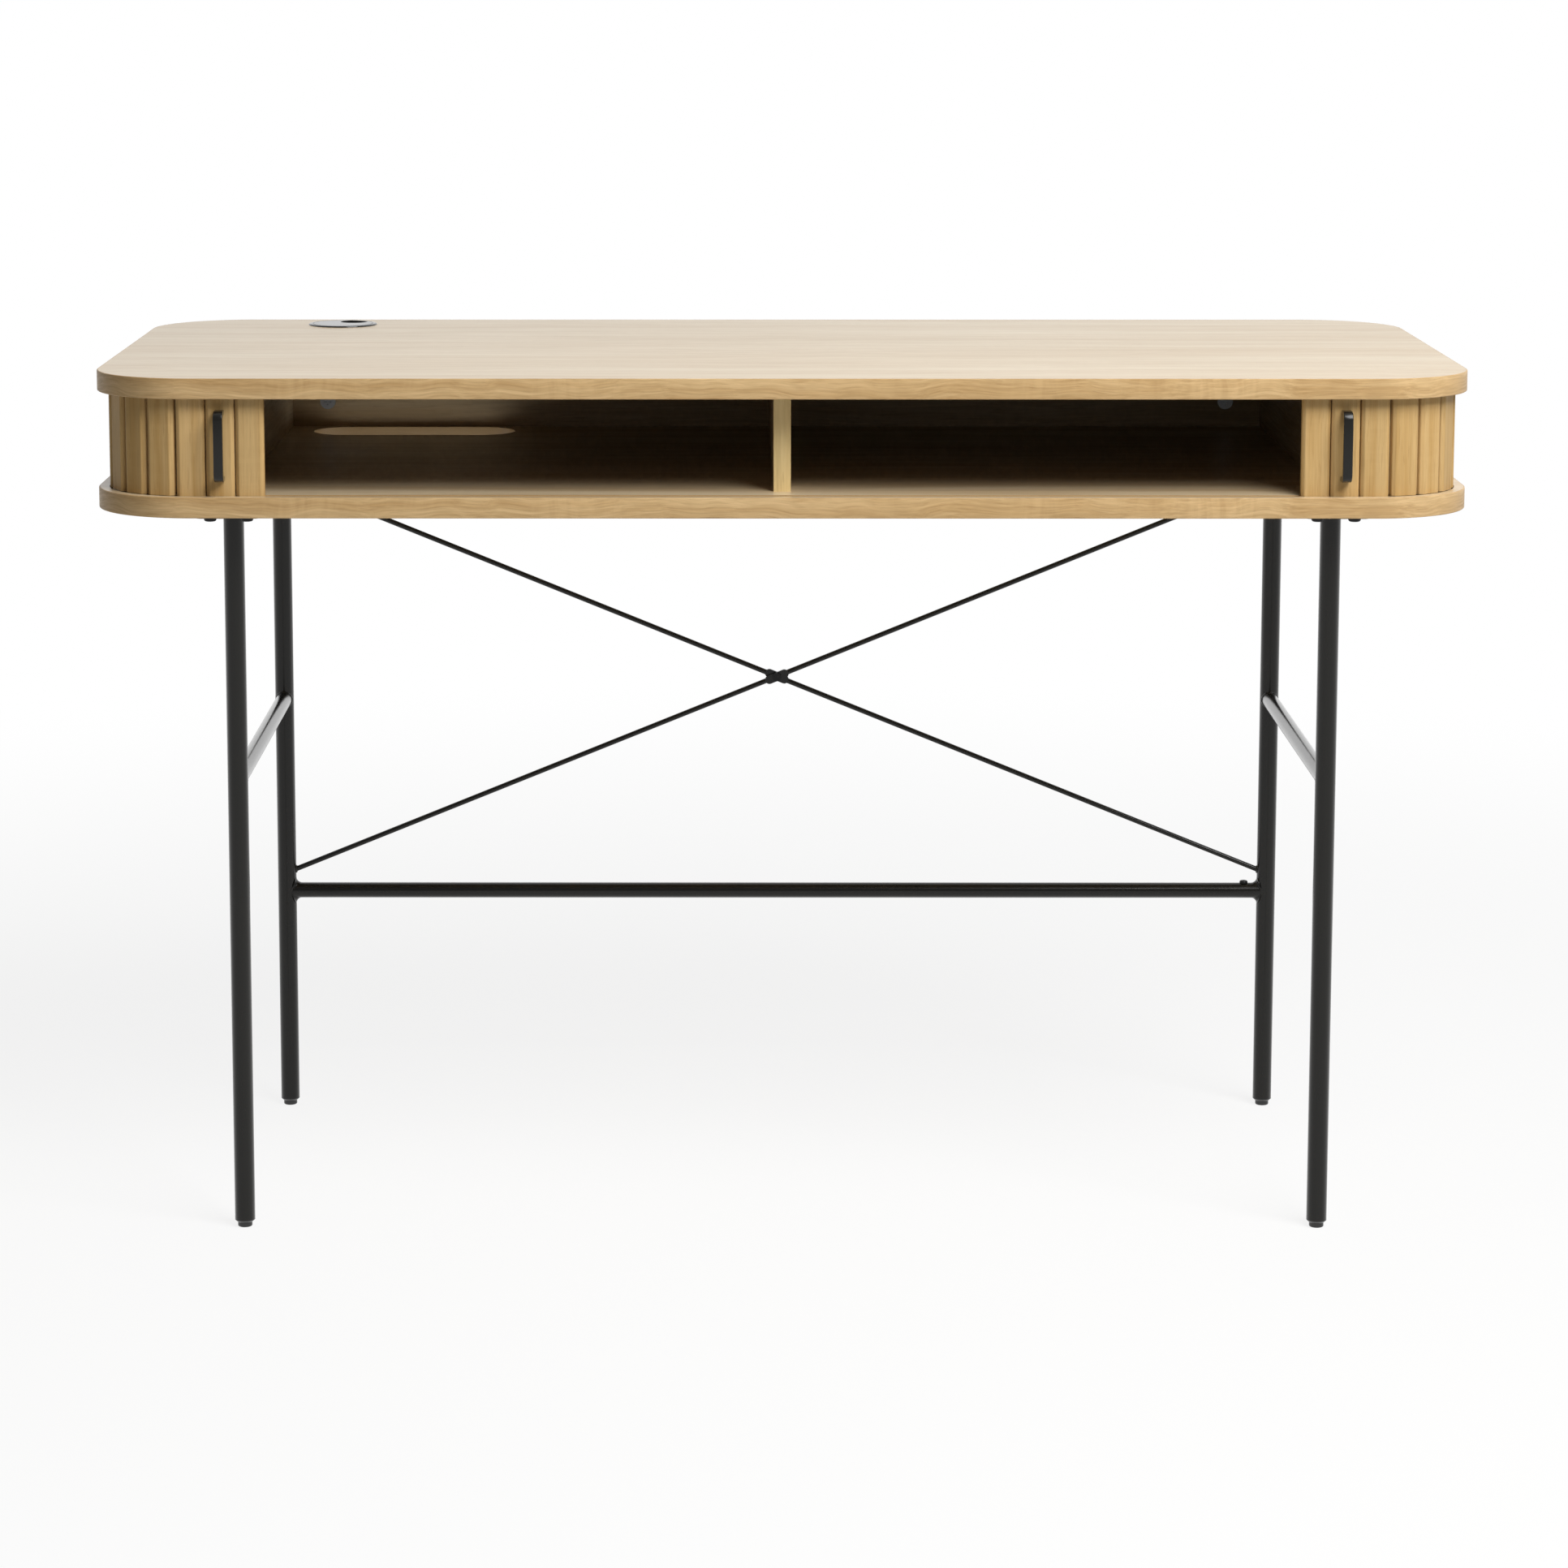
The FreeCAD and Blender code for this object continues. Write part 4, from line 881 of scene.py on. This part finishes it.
class DESK_OT_fixings(bpy.types.Operator):
    """Make the screws that show: under the plates, on the rail's stubs and behind the handles"""
    bl_idname = "desk.fixings"
    bl_label = "Screws"

    def execute(self, context):
        sizes = context.scene.desk_fittings
        tree = fixing_tree()
        plate_low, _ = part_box("leg_plates")
        half = sizes.screw_spacing / 2
        places = []
        for corner in CORNERS:
            low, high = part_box(corner + "_leg")
            middle = (low + high) / 2
            middle.x += math.copysign(sizes.plate_offset, middle.x)
            places += [(Vector((middle.x + x * half, middle.y + y * half, plate_low.z)), -UP)
                       for x in (-1, 1) for y in (-1, 1)]
        head = socket_screw("plate_screw", sizes.screw_head, sizes.screw_height, bevel=0.002,
                            key=sizes.screw_key, depth=0.0022)
        self.row("plate_screw_heads", tree, head, places, "desk", "black_screws", "blackened_screws",
                 "plate_screws")
        low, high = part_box("rail_screws")
        axis = (rail_low + rail_high) / 2
        radius = (rail_high.z - rail_low.z) / 2
        reach = RIGHT * (high.x - RAIL_SCREW_RADIUS)
        places = [(axis + BACK * radius - reach, BACK), (axis + UP * radius + reach, UP)]
        head = socket_screw("rail_screw", RAIL_SCREW_RADIUS, high.z - rail_high.z, bevel=0.0016, key=0.0012,
                            depth=0.0011)
        self.row("rail_screw_heads", tree, head, places, "desk", "black_screws", "blackened_screws",
                 "rail_screws")
        for side, _ in SIDES:
            low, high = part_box(side + "_handle_screws")
            places = [(Vector(((low.x + high.x) / 2, high.y, height)), BACK)
                      for height in (low.z + HANDLE_SCREW_RADIUS, high.z - HANDLE_SCREW_RADIUS)]
            head = socket_screw(side + "_handle_screw", HANDLE_SCREW_RADIUS, height=0.0003, bevel=0.0002,
                                key=0.001, depth=0.0002)
            self.row(side + "_handle_screw_heads", tree, head, places, side + "_lead", "zinc", "zinc_plate",
                     side + "_handle_screws")
        dress("blackened_screws", "brace_bolt")
        return {"FINISHED"}

    def row(self, name, tree, head, places, body, slot, finish_name, node):
        """A set of like screws as one piece, each with its place and the way it looks."""
        points = bpy.data.meshes.new(name + "_places")
        points.from_pydata([place for place, _ in places], [], [])
        looks = points.attributes.new("facing", "FLOAT_VECTOR", "POINT")
        looks.data.foreach_set("vector", [part for _, way in places for part in way])
        spots, shape = link(name + "_places", points), link(name + "_shape", head)
        mesh = grown(tree, name, {"Places": spots, "Shape": shape, "Seed": len(places),
                                  "Metal": finish(finish_name)})
        bpy.data.objects.remove(spots)
        bpy.data.objects.remove(shape)
        stand(name, mesh, body, slot, finish_name, node)


class DESK_OT_rail_stubs(bpy.types.Operator):
    """Make the stubs that flow from the rear legs into the rail"""
    bl_idname = "desk.rail_stubs"
    bl_label = "Rail stubs"

    def execute(self, context):
        flare = context.scene.desk_fittings.stub_flare
        tube = (rail_high.z - rail_low.z) / 2
        for side, mirror in SIDES:
            low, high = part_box("rear_" + side + "_leg")
            stub_low, stub_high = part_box(side + "_rail_stub")
            axis = Vector(((low.x + high.x) / 2, (low.y + high.y) / 2, (rail_low.z + rail_high.z) / 2))
            mouth = abs((stub_high.x if mirror > 0 else stub_low.x) - axis.x)
            rings = self.rings(axis, mirror, (high.x - low.x) / 2, tube, flare, mouth)
            stand(side + "_rail_flare", skin(side + "_rail_flare", rings, caps=True), "desk", "black_steel",
                  "powder_coat", side + "_rail_stub")
        return {"FINISHED"}

    def rings(self, axis, mirror, leg, tube, flare, mouth, segments=48, steps=8):
        """Rings from inside the leg's wall, round the flare that hugs the leg, to the stub's open mouth."""
        rings = []
        for step in range(-1, steps + 3):
            ring = []
            for segment in range(segments):
                way = math.tau * segment / segments
                wide = flare * math.sin(way) ** 2
                turn = QUARTER * min(max(step, 0), steps) / steps
                radius = tube + wide * (1 - math.sin(turn))
                out = math.sqrt(leg ** 2 - (tube * math.cos(way)) ** 2)
                reach = out - STUB_BITE if step < 0 else out + max(wide, STUB_LEAST) * (1 - math.cos(turn))
                if step > steps:
                    reach = mouth
                    radius = tube if step == steps + 1 else tube - STUB_WALL
                ring.append(axis + Vector((mirror * reach, radius * math.cos(way), radius * math.sin(way))))
            rings.append(ring)
        return rings


def bead_tree():
    """A weld bead along closed lines, with the low ripples that the torch leaves."""
    tree, given = node_tree("Weld beads", {"Lines": "Object", "Radius": "Float", "Coat": "Material"})
    lines = add(tree, "GeometryNodeObjectInfo", {"Object": given["Lines"]}, out="Geometry")
    section = add(tree, "GeometryNodeCurvePrimitiveCircle", {"Resolution": 8, "Radius": given["Radius"]})
    swell = add(tree, "GeometryNodeInputIndex")
    for operation, inputs in (("MULTIPLY", {1: RIPPLE_TURN}), ("SINE", {}),
                              ("MULTIPLY_ADD", {1: RIPPLE, 2: 1.0})):
        swell = add(tree, "ShaderNodeMath", {0: swell, **inputs}, operation=operation)
    bead = add(tree, "GeometryNodeCurveToMesh", {"Curve": lines, "Profile Curve": section, "Scale": swell})
    close_tree(tree, add(tree, "GeometryNodeSetShadeSmooth", {"Geometry": bead}), given["Coat"])
    return tree


def saddle(axis_point, tube_radius, way, rod_radius):
    """The line where a rod that leaves an upright tube's centre line comes out of the tube."""
    first = way.cross(UP).normalized()
    second = way.cross(first)
    points = []
    for step in range(WELD_STEPS):
        turn = math.tau * step / WELD_STEPS
        offset = (first * math.cos(turn) + second * math.sin(turn)) * rod_radius
        flat, flat_way = offset.to_2d(), way.to_2d()
        dot, square = flat.dot(flat_way), flat_way.length_squared
        reach = (-dot + math.sqrt(dot * dot - square * (flat.length_squared - tube_radius ** 2))) / square
        points.append(axis_point + offset + way * reach)
    return points


class DESK_OT_tube_frame(bpy.types.Operator):
    """Coat the tubes and plates, and lay the weld beads where they meet"""
    bl_idname = "desk.tube_frame"
    bl_label = "Tube frame"

    def execute(self, context):
        dress("powder_coat", "leg_plates", "left_stretcher", "right_stretcher", "rear_rail", "rail_dowels",
              "rising_brace_rod", "falling_brace_rod", *[corner + "_leg" for corner in CORNERS])
        curve = bpy.data.curves.new("weld_lines", "CURVE")
        curve.dimensions = "3D"
        for points in self.weld_lines():
            spline = curve.splines.new("POLY")
            spline.points.add(len(points) - 1)
            for place, point in zip(spline.points, points):
                place.co = (*point, 1)
            spline.use_cyclic_u = True
        paths = link("weld_lines", curve)
        mesh = grown(bead_tree(), "weld_beads", {
            "Lines": paths, "Radius": context.scene.desk_fittings.bead, "Coat": finish("powder_coat")})
        bpy.data.objects.remove(paths)
        stand("weld_beads", mesh, "desk", "black_steel", "powder_coat")
        return {"FINISHED"}

    def weld_lines(self):
        """The closed lines where the legs meet the stretchers, the plates and the braces."""
        leg_low, leg_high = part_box("front_left_leg")
        leg_radius = (leg_high.x - leg_low.x) / 2
        cross_low, cross_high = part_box("left_stretcher")
        cross_radius, cross_height = (cross_high.x - cross_low.x) / 2, (cross_low.z + cross_high.z) / 2
        brace_low, brace_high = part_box("rising_brace_rod")
        middle = (brace_low.z + brace_high.z) / 2
        reach, rise = (brace_high.x - brace_low.x) / 2, (brace_high.z - brace_low.z) / 2
        tilt = math.atan2(rise, reach)
        slope = (rise - BRACE_RADIUS * math.cos(tilt)) / (reach - BRACE_RADIUS * math.sin(tilt))
        lines = []
        for corner in CORNERS:
            low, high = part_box(corner + "_leg")
            axis = (low + high) / 2
            inward = BACK if axis.y < 0 else -BACK
            lines.append(saddle(Vector((axis.x, axis.y, cross_height)), leg_radius, inward, cross_radius))
            rim = arc(Vector((axis.x, axis.y, high.z)), leg_radius, 0, math.tau, WELD_STEPS)
            lines.append([point for point, _ in rim[:-1]])
            if corner.startswith("rear"):
                for end in (-1, 1):
                    start = Vector((axis.x, axis.y, middle + end * slope * abs(axis.x)))
                    way = Vector((-math.copysign(1, axis.x), 0, -end * slope)).normalized()
                    lines.append(saddle(start, leg_radius, way, BRACE_RADIUS))
        return lines


class DESK_OT_feet(bpy.types.Operator):
    """Give the plugs and the levelling feet their plastic"""
    bl_idname = "desk.feet"
    bl_label = "Feet"

    def execute(self, context):
        dress("moulded_plastic", "foot_plugs", *[corner + "_foot" for corner in CORNERS])
        return {"FINISHED"}


# Stage

WHITE = (1, 1, 1, 1)
KEY_PLACE, KEY_AIM, KEY_SIDES = Vector((1.3, -1.8, 2.85)), Vector((0, -0.15, 0.7)), (1.9, 1.8)
FLOOR_REACH = 12
# The floor turns to plain white from one distance to the other
NEAR_FLOOR, FAR_FLOOR = 0.8, 2.6
# What gloss shows of the room turns to plain white from one direction to the other, as shares of the way back
FRONT_ROOM, BACK_ROOM = -0.6, 0.3
SENSOR_WIDTH = 36


class DESK_OT_stage(bpy.types.Operator):
    """Make the floor, the light and the camera"""
    bl_idname = "desk.stage"
    bl_label = "Stage"

    def execute(self, context):
        settings = context.scene.desk_stage
        self.floor(settings)
        self.world(context, settings)
        self.key(settings)
        self.camera(context, settings)
        context.scene.view_settings.view_transform = "Standard"
        return {"FINISHED"}

    def seen(self, tree, gloss):
        """A share of 1 for what the camera sees, directly or through glass, and a share of it in gloss."""
        path = add(tree, "ShaderNodeLightPath").node.outputs
        seen = add(tree, "ShaderNodeMath", {0: path["Is Camera Ray"], 1: path["Is Transmission Ray"]})
        return add(tree, "ShaderNodeMath", {0: path["Is Glossy Ray"], 1: gloss, 2: seen},
                   operation="MULTIPLY_ADD", use_clamp=True)

    def floor(self, settings):
        shape = bmesh.new()
        bmesh.ops.create_grid(shape, x_segments=8, y_segments=8, size=FLOOR_REACH)
        mesh = bpy.data.meshes.new("floor")
        shape.to_mesh(mesh)
        shape.free()
        material, tree, surface = new_finish("pale_floor")
        fill(tree, surface, {"Base Color": rgba(settings.floor), "Roughness": 0.9, "Specular IOR Level": 0.0})
        glow = add(tree, "ShaderNodeEmission", {"Color": WHITE, "Strength": 1.0})
        place = add(tree, "ShaderNodeTexCoord", out="Object")
        away = add(tree, "ShaderNodeVectorMath", {0: place}, out="Value", operation="LENGTH")
        white = add(tree, "ShaderNodeMapRange", {
            "Value": away, "From Min": NEAR_FLOOR, "From Max": FAR_FLOOR, "To Min": settings.floor_glow,
            "To Max": 1.0}, interpolation_type="SMOOTHSTEP")
        share = add(tree, "ShaderNodeMath", {0: self.seen(tree, 1.0), 1: white}, operation="MULTIPLY")
        mix = add(tree, "ShaderNodeMixShader", {0: share, 1: surface.outputs[0], 2: glow})
        fill(tree, tree.nodes["Material Output"], {"Surface": mix})
        mesh.materials.append(material)
        link("floor", mesh)

    def world(self, context, settings):
        world = bpy.data.worlds.new("studio")
        context.scene.world = world
        world.use_nodes = True
        tree = world.node_tree
        room = tree.nodes["Background"]
        fill(tree, room, {"Color": WHITE, "Strength": settings.ambient})
        white = add(tree, "ShaderNodeBackground", {"Color": WHITE, "Strength": 1.0})
        way = add(tree, "ShaderNodeNewGeometry", out="Position")
        way = add(tree, "ShaderNodeSeparateXYZ", {0: way}, out="Y")
        gloss = add(tree, "ShaderNodeMapRange", {
            "Value": way, "From Min": FRONT_ROOM, "From Max": BACK_ROOM, "To Min": settings.front_gloss,
            "To Max": 1.0})
        mix = add(tree, "ShaderNodeMixShader", {0: self.seen(tree, gloss), 1: room.outputs[0], 2: white})
        fill(tree, tree.nodes["World Output"], {"Surface": mix})

    def key(self, settings):
        light = bpy.data.lights.new("key_softbox", "AREA")
        light.shape = "RECTANGLE"
        light.size, light.size_y = KEY_SIDES
        light.energy = settings.key_power
        lamp = link("key_softbox", light)
        lamp.location = KEY_PLACE
        lamp.rotation_euler = (KEY_AIM - KEY_PLACE).to_track_quat("-Z", "Y").to_euler()

    def camera(self, context, settings):
        data = bpy.data.cameras.new("camera")
        data.lens = settings.lens
        data.sensor_width = SENSOR_WIDTH
        data.shift_x, data.shift_y = settings.shift
        camera = link("camera", data)
        camera.location = settings.camera_place
        camera.rotation_euler = (QUARTER + settings.camera_pitch, 0, settings.camera_yaw)
        context.scene.camera = camera


STEPS = ("stage", "panels", "edge_bands", "fittings", "grommet", "slats", "cloth", "handles", "fixings",
         "rail_stubs", "tube_frame", "feet")


class DESK_PT_sidebar(bpy.types.Panel):
    """Sizes, finishes and steps of the desk"""
    bl_idname = "DESK_PT_sidebar"
    bl_label = "Tambour desk"
    bl_space_type = "VIEW_3D"
    bl_region_type = "UI"
    bl_category = "Desk"

    def draw(self, context):
        for name in SETTINGS:
            group = getattr(context.scene, name)
            box = self.layout.box()
            for key in group.bl_rna.properties.keys():
                if key not in ("rna_type", "name"):
                    box.prop(group, key)
        for step in STEPS:
            self.layout.operator("desk." + step)


SETTINGS = {
    "desk_cabinet": CabinetSizes,
    "desk_curtain": CurtainSizes,
    "desk_fittings": FittingSizes,
    "desk_finishes": Finishes,
    "desk_stage": StageSettings,
}
CLASSES = (*SETTINGS.values(), DESK_OT_panels, DESK_OT_edge_bands, DESK_OT_fittings, DESK_OT_grommet,
           DESK_OT_slats, DESK_OT_cloth, DESK_OT_handles, DESK_OT_fixings, DESK_OT_rail_stubs,
           DESK_OT_tube_frame, DESK_OT_feet, DESK_OT_stage, DESK_PT_sidebar)


def register():
    for item in CLASSES:
        bpy.utils.register_class(item)
    for name, group in SETTINGS.items():
        setattr(bpy.types.Scene, name, PointerProperty(type=group))


def unregister():
    for name in SETTINGS:
        delattr(bpy.types.Scene, name)
    for item in reversed(CLASSES):
        bpy.utils.unregister_class(item)


def main():
    register()
    for step in STEPS:
        getattr(bpy.ops.desk, step)()


if __name__ == "__main__":
    main()
